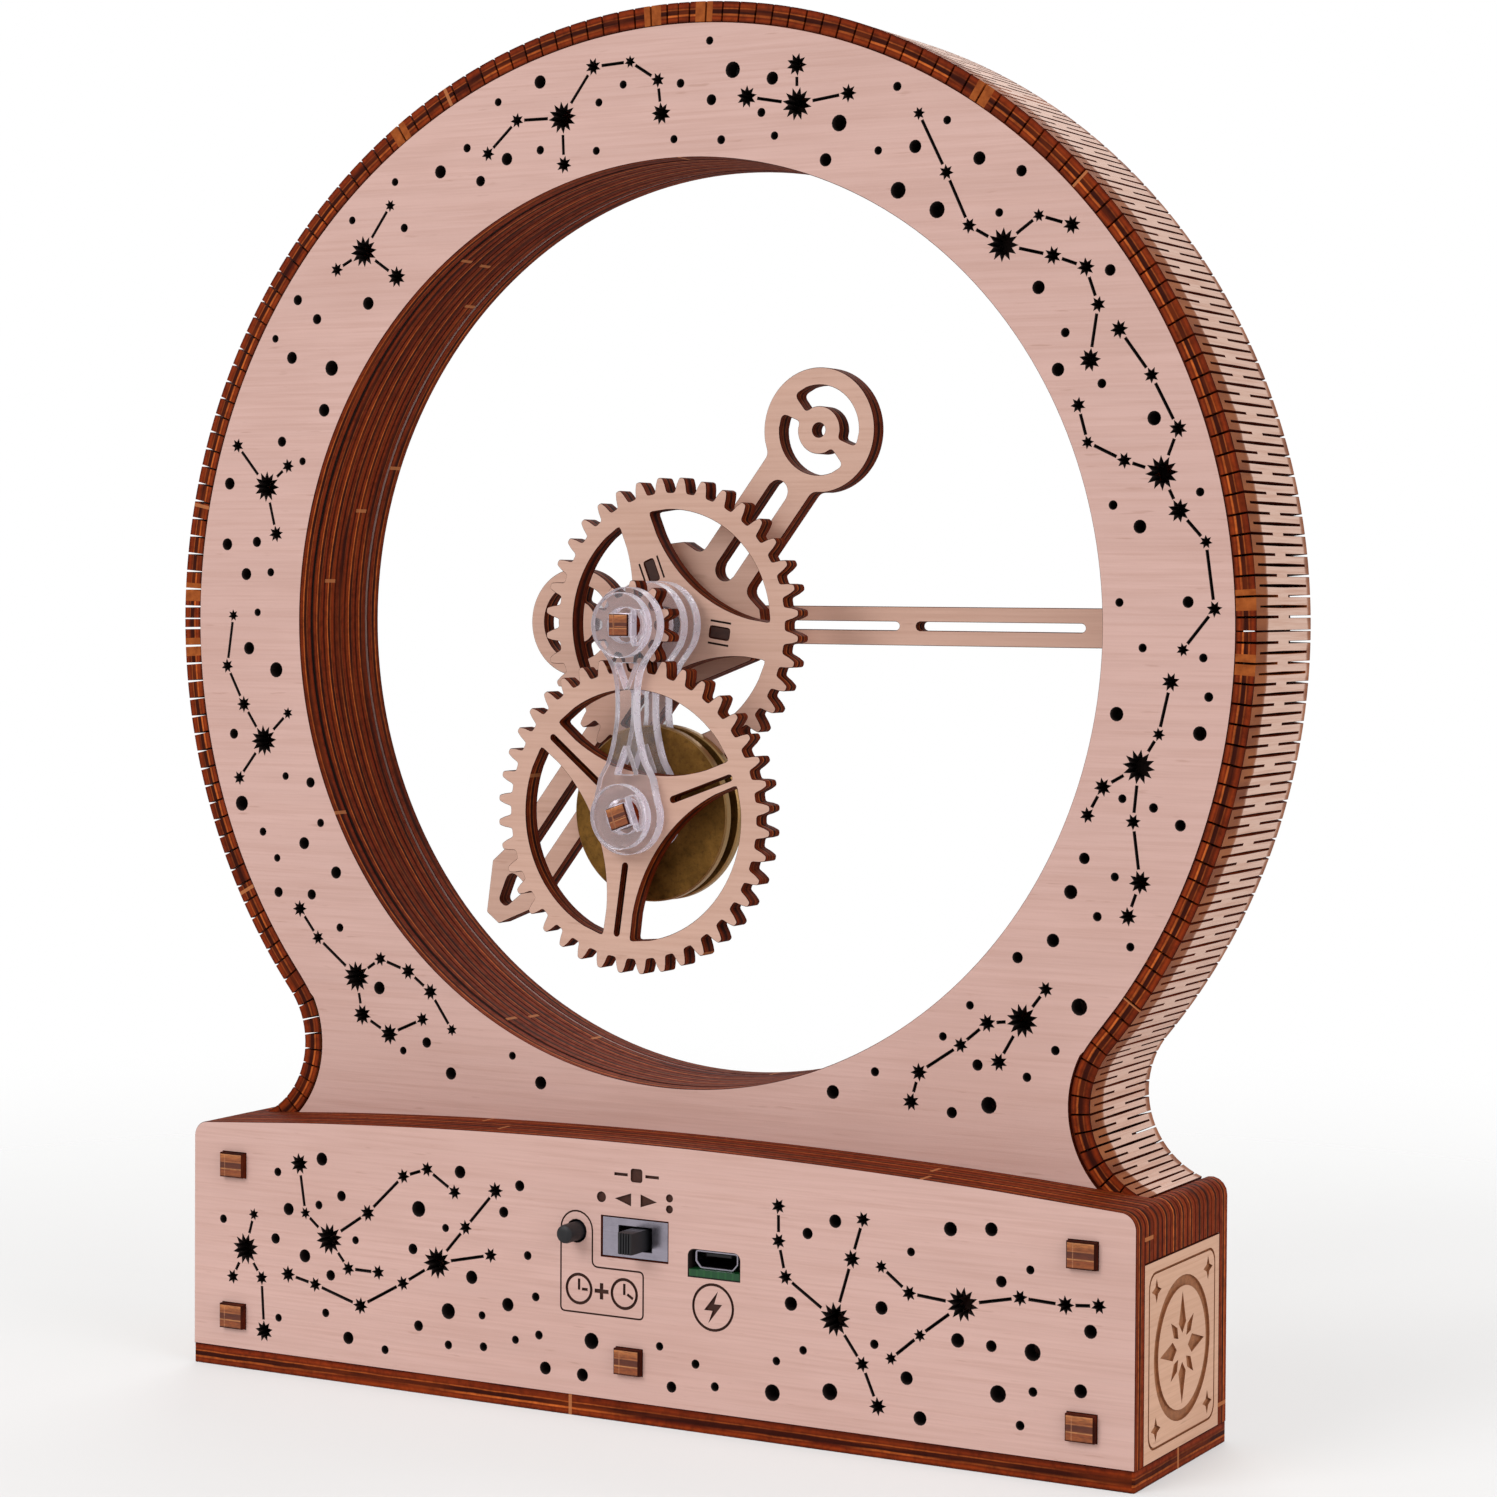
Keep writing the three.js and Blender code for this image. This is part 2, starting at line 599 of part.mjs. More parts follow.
function makeHanger() {
  add('rear_link', board(linkShape(5.5), Y_REAR_LINK, LINK_T, 9), acrylic, 0, RING_Z);
  add('mid_link', board(linkShape(6.4), Y_MID_LINK, LINK_T, 9), acrylic, 0, RING_Z);
  add('front_link', board(linkShape(6.4), Y_FRONT_LINK, LINK_T, 9), acrylic, 0, RING_Z);
  for (const [name, y] of [['rear_weight', Y_REAR_WEIGHT], ['front_weight', Y_FRONT_WEIGHT]]) {
    add(name, board(disc(WEIGHT_R, circle(AXLE_HOLE_R)), y, WEIGHT_T, 18), brass, 0, IDLER_Z);
  }
}

// ---- Rollers, drive and controls ----------------------------------------------------------
const ROLLER = { radius: 3.6, boreR: 1.3, y: 10.4, width: 6.6, pinR: 1, pinY: 9.8 };
const MOTOR = { radius: 8, y: 10.8, length: 6.2 };
const SHAFT_HOLE_R = 1.4;
const BRACKET = { half: 16, y: 9.7, thickness: 1, holeR: 3 };
const CABLE_R = 0.9;

function makeRollers() {
  const reach = ROTOR_OUTER_R + CLEAR + ROLLER.radius;
  for (const [side, angle] of [['left', 150], ['right', 30]]) {
    const [x, z] = polar(reach, rad(angle), 0, RING_Z);
    const wheel = disc(ROLLER.radius, circle(ROLLER.boreR));
    add(`guide_roller_${side}`, board(wheel, ROLLER.y, ROLLER.width, 10), birch, x, z);
    const pin = board(disc(ROLLER.pinR), ROLLER.pinY, FRONT_Y - BOARD - ROLLER.pinY, 8);
    add(`roller_pin_${side}`, pin, steel, x, z);
  }
}

function makeDrive() {
  const body = board(disc(MOTOR.radius, circle(SHAFT_HOLE_R)), MOTOR.y, MOTOR.length, 14);
  add('motor_body', body, steel, 0, DRIVE_Z);
  const top = MOTOR.radius + 2 * CLEAR;
  const bracket = shapeOf(rectangle(-BRACKET.half, FRAME_FLOOR_Z - DRIVE_Z, BRACKET.half, top));
  bracket.holes.push(circle(BRACKET.holeR));
  add('motor_bracket', board(bracket, BRACKET.y, BRACKET.thickness, 8), steel, 0, DRIVE_Z);
}

// The cable leaves the control board, drops and comes back up to the motor's rim.
function makeCable() {
  const route = new THREE.CatmullRomCurve3([
    new THREE.Vector3(8, -4, 19.9), new THREE.Vector3(15, -1, 18),
    new THREE.Vector3(20, 4, 15.4), new THREE.Vector3(20, 10, 14.6),
    new THREE.Vector3(13, 13.6, 14.8), new THREE.Vector3(3, 14, 16.2),
  ]);
  const section = new THREE.Shape();
  section.absarc(0, 0, CABLE_R, 0, 2 * Math.PI, false);
  const options = { steps: 16, curveSegments: 4, bevelEnabled: false, extrudePath: route };
  add('motor_cable', new THREE.ExtrudeGeometry(section, options), redCable);
}

function makeCircuit() {
  const { x, z, width, rearY, length, thickness } = CIRCUIT;
  const plate = new THREE.BoxGeometry(width, length, thickness);
  plate.translate(x, rearY + length / 2, z);
  const tongue = new THREE.BoxGeometry(TONGUE.width, TONGUE.length, thickness);
  tongue.translate(USB.x, TONGUE.rearY + TONGUE.length / 2, z);
  add('control_board', joined(plate, tongue), greenBoard);
}

function makeSwitch() {
  const { x, z, halfX, halfZ, slotX, slotZ } = SWITCH;
  const frame = shapeOf(rectangle(x - halfX, z - halfZ, x + halfX, z + halfZ));
  frame.holes.push(pathOf(rectangle(x - slotX, z - slotZ, x + slotX, z + slotZ)));
  add('mode_switch_frame', board(frame, SWITCH_Y, SWITCH_LENGTH), steel);
  const knob = new THREE.BoxGeometry(KNOB.width, KNOB.length, KNOB.height);
  knob.translate(x + KNOB.restX, KNOB.y + KNOB.length / 2, z);
  add('mode_switch_knob', knob, blackPlastic);
}

function makeUsbSocket() {
  const { x, z, halfX, halfZ, wall, y, length } = USB;
  const shell = shapeOf(rectangle(x - halfX, z - halfZ, x + halfX, z + halfZ));
  const mouth = rectangle(x - halfX + wall, z - halfZ + wall, x + halfX - wall, z + halfZ - wall);
  shell.holes.push(pathOf(mouth));
  add('usb_socket', board(shell, y, length), steel);
}

function makeButton() {
  const { x, z, radius, y, length, bodyHalf, bodyY } = BUTTON;
  const body = shapeOf(rectangle(-bodyHalf, -bodyHalf, bodyHalf, bodyHalf));
  body.holes.push(circle(radius + CLEAR));
  add('minute_button_body', board(body, bodyY, BUTTON_BODY_LENGTH, 8), blackPlastic, x, z);
  add('minute_button_cap', board(disc(radius), y, length, 10), blackPlastic, x, z);
}

makeBase();
makePegs();
makePanels();
makeSpacers();
makeBands();
makeRotor();
makeMinuteHand();
makePinions();
makeIdlerGear();
makeHourGear();
makeHourHand();
makeAxles();
makeHanger();
makeRollers();
makeDrive();
makeCable();
makeCircuit();
makeSwitch();
makeUsbSocket();
makeButton();
clock.position.y = -(BASE_REAR_Y + FRONT_Y) / 2;

export default clock;
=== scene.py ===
"""Looks of the hollow ring clock kit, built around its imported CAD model.

Lengths are in millimetres until a mesh is made. X runs across the clock, Y from the control
side (-Y) to the dial side (+Y), and Z up, as in the CAD model.
"""

import json
import math
import random

import bmesh
import bpy
import numpy as np
from mathutils import Matrix, Vector, geometry


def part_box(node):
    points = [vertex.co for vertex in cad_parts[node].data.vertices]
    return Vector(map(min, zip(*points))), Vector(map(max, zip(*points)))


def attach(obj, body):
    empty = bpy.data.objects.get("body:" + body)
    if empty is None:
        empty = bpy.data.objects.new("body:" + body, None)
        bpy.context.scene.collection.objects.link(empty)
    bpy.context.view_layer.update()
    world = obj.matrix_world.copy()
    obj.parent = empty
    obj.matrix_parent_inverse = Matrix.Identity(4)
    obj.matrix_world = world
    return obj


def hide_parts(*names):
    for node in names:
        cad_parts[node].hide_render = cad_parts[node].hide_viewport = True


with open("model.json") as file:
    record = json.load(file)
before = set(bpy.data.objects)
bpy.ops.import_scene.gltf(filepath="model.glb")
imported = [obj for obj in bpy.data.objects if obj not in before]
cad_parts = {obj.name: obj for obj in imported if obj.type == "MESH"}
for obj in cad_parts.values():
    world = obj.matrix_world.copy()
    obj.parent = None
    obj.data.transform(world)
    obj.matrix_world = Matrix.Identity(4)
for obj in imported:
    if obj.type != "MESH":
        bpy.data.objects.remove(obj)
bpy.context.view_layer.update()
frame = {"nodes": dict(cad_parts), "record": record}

MM = 0.001
BOARD = 3.0
FACE, EDGE, SUNK, SMALL = 0, 1, 2, 3


def span(node):
    """Lowest and highest corner of a CAD node in millimetres."""
    low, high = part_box(node)
    return np.array(low) / MM, np.array(high) / MM


panel_low, panel_high = span("ring_rear_panel")
REAR_Y = panel_low[1]
FRONT_Y = span("front_panel")[1][1]
BORE_R = 69.0
PANEL_R = 88.5
RING_Z = panel_high[2] - PANEL_R
NECK_X, NECK_R = 80.4, 16.0
NECK_Z = RING_Z - math.sqrt((PANEL_R + NECK_R) ** 2 - NECK_X**2)
BAND_IN, BAND_T = 0.3, 3.0
axle_low, axle_high = span("idler_axle")
IDLER_Z = (axle_low[2] + axle_high[2]) / 2


# ---- Outlines ------------------------------------------------------------------------------
def signed_area(loop):
    x, z = np.asarray(loop).T
    return float(np.sum(x * np.roll(z, -1) - np.roll(x, -1) * z) / 2)


def oriented(loops):
    """The largest loop first and counter-clockwise, the others clockwise."""
    loops = sorted((np.asarray(p, float) for p in loops), key=lambda p: -abs(signed_area(p)))
    turned = [p if signed_area(p) < 0 else p[::-1] for p in loops]
    return [turned[0][::-1]] + turned[1:]


def edge_directions(loop):
    along = np.roll(loop, -1, 0) - loop
    return along / np.maximum(np.linalg.norm(along, axis=1), 1e-9)[:, None]


def offset(loop, distance):
    """The loop moved to its left, which is the side that the board is on."""
    after = edge_directions(loop)
    before = np.roll(after, 1, 0)
    left = [np.stack([-d[:, 1], d[:, 0]], 1) for d in (before, after)]
    share = 1 + np.sum(left[0] * left[1], 1)
    return loop + (left[0] + left[1]) / np.maximum(share, 0.4)[:, None] * distance


def corner_turns(loop):
    after = edge_directions(loop)
    before = np.roll(after, 1, 0)
    cross = before[:, 0] * after[:, 1] - before[:, 1] * after[:, 0]
    return np.degrees(np.arctan2(cross, np.sum(before * after, 1)))


def smoothed(loop, limit=20.0, steps=3):
    """More points along an outline's curves, with its corners and straight runs as they are."""
    turns = corner_turns(loop)
    after = edge_directions(loop)
    tangents = after + np.roll(after, 1, 0)
    tangents /= np.linalg.norm(tangents, axis=1)[:, None]
    gaps = np.linalg.norm(np.roll(loop, -1, 0) - loop, axis=1)
    points = []
    for i, start in enumerate(loop):
        j = (i + 1) % len(loop)
        points.append(start)
        a, b = turns[i], turns[j]
        even = gaps[i] < 1.8 * min(gaps[i - 1], gaps[j])
        if even and 0.3 < abs(a) < limit and 0.3 < abs(b) < limit and a * b > 0:
            end = loop[j]
            length = np.linalg.norm(end - start)
            for k in range(1, steps):
                t = k / steps
                rise = t * t * (3 - 2 * t)
                bend = (t - t * t) * ((1 - t) * tangents[i] - t * tangents[j])
                points.append(start + (end - start) * rise + length * bend)
    return np.array(points)


def rounded(loop, radius, limit=24.0, hollow=0.0):
    """Sharp corners eased with a small curve, and inward corners by another radius if given."""
    turns = corner_turns(loop)
    after = edge_directions(loop)
    gaps = np.linalg.norm(np.roll(loop, -1, 0) - loop, axis=1)
    points = []
    for i, corner in enumerate(loop):
        if abs(turns[i]) < limit:
            points.append(corner)
            continue
        r = hollow if hollow and turns[i] < 0 else radius
        reach = r * math.tan(math.radians(min(abs(turns[i]), 120)) / 2)
        reach = min(reach, 0.45 * gaps[i], 0.45 * gaps[i - 1])
        start = corner - after[i - 1] * reach
        end = corner + after[i] * reach
        steps = 3 if r < 0.8 else 6
        for k in range(steps):
            t = k / (steps - 1)
            points.append(start * (1 - t) ** 2 + corner * (2 * t * (1 - t)) + end * t * t)
    return np.array(points)


def loops_of(node, ease=0.0, hollow=0.0):
    """Outline and holes of a CAD board, read from its rear face and smoothed."""
    mesh = frame["nodes"][node].data
    points = np.array([v.co for v in mesh.vertices]) / MM
    level = points[:, 1].min()
    key = [(round(float(p[0]), 3), round(float(p[2]), 3)) for p in points]
    follow = {}
    for face in mesh.polygons:
        if all(abs(points[i][1] - level) < 0.01 for i in face.vertices):
            ring = [key[i] for i in face.vertices]
            for a, b in zip(ring, ring[1:] + ring[:1]):
                if a in follow.get(b, ()):
                    follow[b].remove(a)
                else:
                    follow.setdefault(a, []).append(b)
    loops = []
    follow = {a: list(b) for a, b in follow.items() if b}
    while follow:
        start = next(iter(follow))
        loop, at = [], start
        while follow.get(at):
            loop.append(at)
            nxt = follow[at].pop()
            if not follow[at]:
                del follow[at]
            at = nxt
        loops.append(smoothed(np.array(straightened(loop))))
    loops = oriented(loops)
    if ease:
        loops = [rounded(loop, ease, hollow=hollow) for loop in loops]
    return loops


def straightened(loop):
    """The loop without points that lie on a straight run."""
    kept = []
    for i, point in enumerate(loop):
        a, b = np.array(loop[i - 1]), np.array(loop[(i + 1) % len(loop)])
        p = np.array(point)
        cross = (p - a)[0] * (b - p)[1] - (p - a)[1] * (b - p)[0]
        if abs(cross) > 1e-3 * max(np.linalg.norm(b - a), 1e-6):
            kept.append(point)
    return kept


def circle(x, z, radius, steps=20):
    turn = np.arange(steps) / steps * 2 * math.pi
    return np.stack([x + radius * np.cos(turn), z + radius * np.sin(turn)], 1)


def star(x, z, radius, rays=8, inner=0.5, turn=0.0):
    at = np.arange(2 * rays) / rays * math.pi + turn
    r = np.where(np.arange(2 * rays) % 2 == 0, radius, radius * inner)
    return np.stack([x + r * np.cos(at), z + r * np.sin(at)], 1)


def bar(p, q, width):
    """Thin rectangle from p to q."""
    p, q = np.array(p, float), np.array(q, float)
    d = (q - p) / np.linalg.norm(q - p)
    n = np.array([-d[1], d[0]]) * width / 2
    return np.array([p + n, p - n, q - n, q + n])


def box_loop(x0, z0, x1, z1, radius=0.0):
    corners = [(x1, z0, -90), (x1, z1, 0), (x0, z1, 90), (x0, z0, 180)]
    if not radius:
        return np.array([(x, z) for x, z, _ in corners], float)
    points = []
    for x, z, start in corners:
        cx = x - math.copysign(radius, x - (x0 + x1) / 2)
        cz = z - math.copysign(radius, z - (z0 + z1) / 2)
        for k in range(6):
            a = math.radians(start + 18 * k)
            points.append((cx + radius * math.cos(a), cz + radius * math.sin(a)))
    return np.array(points)


def moved(loop, x, z, turn=0.0):
    c, s = math.cos(turn), math.sin(turn)
    loop = np.asarray(loop, float)
    return np.stack([x + loop[:, 0] * c - loop[:, 1] * s, z + loop[:, 0] * s + loop[:, 1] * c], 1)


# ---- Board meshes --------------------------------------------------------------------------
def inside(points, loops):
    """Whether each point is in the region between the loops, by the even-odd rule."""
    hits = np.zeros(len(points), int)
    for loop in loops:
        a, b = loop, np.roll(loop, -1, 0)
        for start in range(0, len(points), 4000):
            x, z = points[start : start + 4000].T[:, :, None]
            crosses = (a[:, 1] > z) != (b[:, 1] > z)
            rise = np.where(b[:, 1] == a[:, 1], 1e-12, b[:, 1] - a[:, 1])
            at = a[:, 0] + (z - a[:, 1]) / rise * (b[:, 0] - a[:, 0])
            hits[start : start + 4000] += np.sum(crosses & (x < at), 1)
    return hits % 2 == 1


def filled(loops):
    """Triangles between the loops, as places in the loops' points put end to end."""
    points = np.concatenate(loops)
    edges, start = [], 0
    for loop in loops:
        n = len(loop)
        edges += [(start + i, start + (i + 1) % n) for i in range(n)]
        start += n
    cut = geometry.delaunay_2d_cdt([Vector(p) for p in points], edges, [], 0, 1e-6, True)
    source = [found[0] if found else -1 for found in cut[3]]
    if -1 in source or len(cut[0]) != len(points):
        print("outline crossing near", [tuple(cut[0][i]) for i, s in enumerate(source) if s < 0][:3])
    faces = [[source[i] for i in face] for face in cut[2]]
    faces = [face for face in faces if -1 not in face]
    middles = np.array([points[face].mean(0) for face in faces])
    return [face for face, keep in zip(faces, inside(middles, loops)) if keep]


class Build:
    """Points, faces, materials and UVs of a mesh while it is put together."""

    def __init__(self):
        self.points, self.faces, self.kinds, self.uvs = [], [], [], []

    def add(self, points):
        start = len(self.points)
        self.points.extend([tuple(p) for p in points])
        return start

    def face(self, corners, kind, uv):
        self.faces.append(tuple(corners))
        self.kinds.append(kind)
        self.uvs.extend(uv)

    def wall(self, upper, lower, loop, kind, levels):
        """Strip of quads between two rows of points."""
        n = len(loop)
        along = np.linalg.norm(np.roll(loop, -1, 0) - loop, axis=1)
        far = np.concatenate([[0], np.cumsum(along)]) * MM
        for i in range(n):
            j = (i + 1) % n
            corners = (upper + i, upper + j, lower + j, lower + i)
            uv = [(far[i], levels[0]), (far[i + 1], levels[0])]
            self.face(corners, kind, uv + [(far[i + 1], levels[1]), (far[i], levels[1])])

    def cap(self, starts, loops, kind):
        index = np.concatenate([start + np.arange(len(p)) for start, p in zip(starts, loops)])
        flat = np.concatenate(loops) * MM
        for face in filled(loops):
            self.face([int(index[i]) for i in face], kind, [tuple(flat[i]) for i in face])


def flat(points):
    """Board in the plane of the panels."""
    return points[:, [0, 2, 1]]


def lying(points):
    """Board in the plane of the floor."""
    return points


def sideways(points):
    """Board in the plane of the base's ends."""
    return points[:, [2, 0, 1]]


def board(loops, low, high, place=flat, pockets=(), chamfer=0.08, small=0.0):
    """A closed board. Its loops are cut right through, and pockets are sunk into its low face.

    Walls of holes with less area than small are of their own kind.
    """
    build = Build()

    def row(loop, depth):
        depths = np.full((len(loop), 1), depth)
        return build.add(place(np.hstack([loop, depths])))

    loops = oriented(loops)
    eased = [offset(loop, chamfer) for loop in loops]
    near, far = [], []
    share = chamfer / (high - low)
    for loop, rim in zip(loops, eased):
        rows = [row(rim, low), row(loop, low + chamfer), row(loop, high - chamfer), row(rim, high)]
        levels = [0, share, 1 - share, 1]
        kind = SMALL if abs(signed_area(loop)) < small else EDGE
        for k in range(3):
            build.wall(rows[k], rows[k + 1], loop, kind, levels[k : k + 2])
        near.append(rows[0])
        far.append(rows[3])
    sunk, sunk_rows = [], []
    for outline, depth in pockets:
        tops = [row(loop, low) for loop in outline]
        floors = [row(loop, low + depth) for loop in outline]
        for top, floor, loop in zip(tops, floors, outline):
            build.wall(top, floor, loop, SUNK, (0, depth / BOARD))
        build.cap(floors, outline, SUNK)
        sunk += list(outline)
        sunk_rows += tops
    build.cap(near + sunk_rows, eased + sunk, FACE)
    build.cap(far, eased, FACE)
    return build


def finish_mesh(name, build, materials, smooth=32.0):
    mesh = bpy.data.meshes.new(name)
    mesh.from_pydata([tuple(np.array(p) * MM) for p in build.points], [], build.faces)
    layer = mesh.uv_layers.new(name="flat")
    layer.data.foreach_set("uv", np.array(build.uvs, np.float32).ravel())
    mesh.polygons.foreach_set("material_index", np.array(build.kinds, np.int32))
    for material in materials:
        mesh.materials.append(material)
    work = bmesh.new()
    work.from_mesh(mesh)
    bmesh.ops.recalc_face_normals(work, faces=work.faces)
    work.to_mesh(mesh)
    work.free()
    mesh.polygons.foreach_set("use_smooth", [True] * len(mesh.polygons))
    mesh.set_sharp_from_angle(angle=math.radians(smooth))
    mesh.update()
    thing = bpy.data.objects.new(name, mesh)
    bpy.context.scene.collection.objects.link(thing)
    return thing


BODY_OF = {
    node: body
    for body, nodes in frame["record"]["behaviour"]["bodies"].items()
    for node in nodes
}


def piece(name, build, materials, slot, *nodes):
    """Makes the mesh an object that rides with, and stands for, the given CAD nodes."""
    thing = finish_mesh(name, build, materials)
    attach(thing, BODY_OF[nodes[0]])
    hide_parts(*nodes)
    return thing


def cad_board(node, materials, slot, loops=None, play=0.0, **how):
    """A board with its CAD depth, less some play, and its CAD outline unless loops are given."""
    low, high = span(node)
    outline = loops_of(node) if loops is None else loops
    build = board(outline, low[1] + play, high[1] - play, **how)
    return piece(node, build, materials, slot, node)


# ---- Materials -----------------------------------------------------------------------------
class Shader:
    """A node material being wired up."""

    def __init__(self, name):
        self.material = bpy.data.materials.new(name)
        self.material.use_nodes = True
        self.tree = self.material.node_tree
        self.main = self.tree.nodes["Principled BSDF"]

    def node(self, kind, inputs=None, **settings):
        made = self.tree.nodes.new("ShaderNode" + kind)
        for key, value in settings.items():
            setattr(made, key, value)
        for key, value in (inputs or {}).items():
            self.put(made, key, value)
        return made

    def put(self, node, key, value):
        if isinstance(value, bpy.types.NodeSocket):
            self.tree.links.new(value, node.inputs[key])
        else:
            node.inputs[key].default_value = value

    def set(self, **values):
        for key, value in values.items():
            self.put(self.main, key.replace("_", " "), value)

    def math(self, operation, a, b=0.0, clamp=False):
        made = self.node("Math", {0: a, 1: b}, operation=operation)
        made.use_clamp = clamp
        return made.outputs[0]

    def uv(self):
        return self.node("UVMap", uv_map="flat").outputs[0]

    def where(self):
        return self.node("TexCoord").outputs["Object"]

    def chance(self):
        return self.node("ObjectInfo").outputs["Random"]

    def stretched(self, vector, scale, shift=None):
        made = self.node("Mapping", {"Vector": vector, "Scale": scale})
        if shift is not None:
            far = self.math("MULTIPLY", shift, 37.0)
            self.put(made, "Location", self.node("CombineXYZ", {0: far, 1: far, 2: far}).outputs[0])
        return made.outputs[0]

    def noise(self, vector, detail=4.0, roughness=0.55, distortion=0.0):
        inputs = {"Vector": vector, "Scale": 1.0, "Detail": detail, "Roughness": roughness}
        inputs["Distortion"] = distortion
        return self.node("TexNoise", inputs).outputs["Fac"]

    def ramp(self, value, *stops, smooth=False):
        made = self.node("ValToRGB", {"Fac": value})
        ramp = made.color_ramp
        ramp.interpolation = "EASE" if smooth else "LINEAR"
        while len(ramp.elements) < len(stops):
            ramp.elements.new(0.5)
        for element, (at, colour) in zip(ramp.elements, stops):
            element.position = at
            element.color = (*colour, 1) if isinstance(colour, tuple) else (colour, colour, colour, 1)
        return made.outputs["Color"]

    def fade(self, value, low, high, top=1.0):
        """Nothing below low, rising to top at high."""
        return self.math("MULTIPLY", self.ramp(value, (low, 0.0), (high, 1.0)), top)

    def mix(self, share, a, b, blend="MIX"):
        made = self.node("Mix", data_type="RGBA", blend_type=blend)
        for key, value in ((0, share), (6, a), (7, b)):
            if isinstance(value, tuple):
                value = (*value[:3], 1)
            self.put(made, key, value)
        return made.outputs[2]

    def bump(self, height, strength, distance):
        made = self.node("Bump", {"Height": height, "Strength": strength, "Distance": distance})
        self.put(self.main, "Normal", made.outputs[0])


def srgb(r, g, b):
    """Linear colour from everyday 0 to 255 values."""
    return tuple(((c / 255 + 0.055) / 1.055) ** 2.4 if c > 10 else c / 3295 for c in (r, g, b))


def birch_face(name="birch_face", tone=(220, 181, 171), grain=1.0):
    """Sanded birch veneer with fine fibres along U."""
    s = Shader(name)
    uv, chance = s.uv(), s.chance()
    fibres = s.noise(s.stretched(uv, (45, 1900, 1), chance), 5, 0.6)
    bands = s.noise(s.stretched(uv, (14, 260, 1), chance), 3, 0.5, 0.6)
    cloud = s.noise(s.stretched(uv, (30, 60, 1), chance), 3)
    streak = s.noise(s.stretched(uv, (170, 1500, 1), chance), 2, 0.4)
    base = srgb(*tone)
    pale = tuple(min(1, c * 1.07) for c in base)
    deep = tuple(c * k for c, k in zip(base, (0.86, 0.80, 0.76)))
    colour = s.mix(s.ramp(bands, (0.3, 0.0), (0.75, 1.0)), pale, base)
    colour = s.mix(s.fade(fibres, 0.42, 0.7, 0.6 * grain), colour, deep)
    colour = s.mix(s.fade(cloud, 0.45, 0.75, 0.35), colour, deep)
    flecks = s.fade(streak, 0.70, 0.78, 0.3 * grain)
    colour = s.mix(flecks, colour, srgb(168, 120, 98))
    lift = s.math("ADD", s.math("MULTIPLY", chance, 0.05), 0.97)
    tint = s.node("CombineXYZ", {0: lift, 1: lift, 2: lift}).outputs[0]
    colour = s.mix(1.0, colour, tint, "MULTIPLY")
    s.set(Base_Color=colour, Roughness=s.math("ADD", s.math("MULTIPLY", fibres, 0.2), 0.5))
    s.main.inputs["Specular IOR Level"].default_value = 0.3
    s.bump(s.math("ADD", fibres, s.math("MULTIPLY", streak, 0.4)), 0.25, 0.00012)
    return s.material


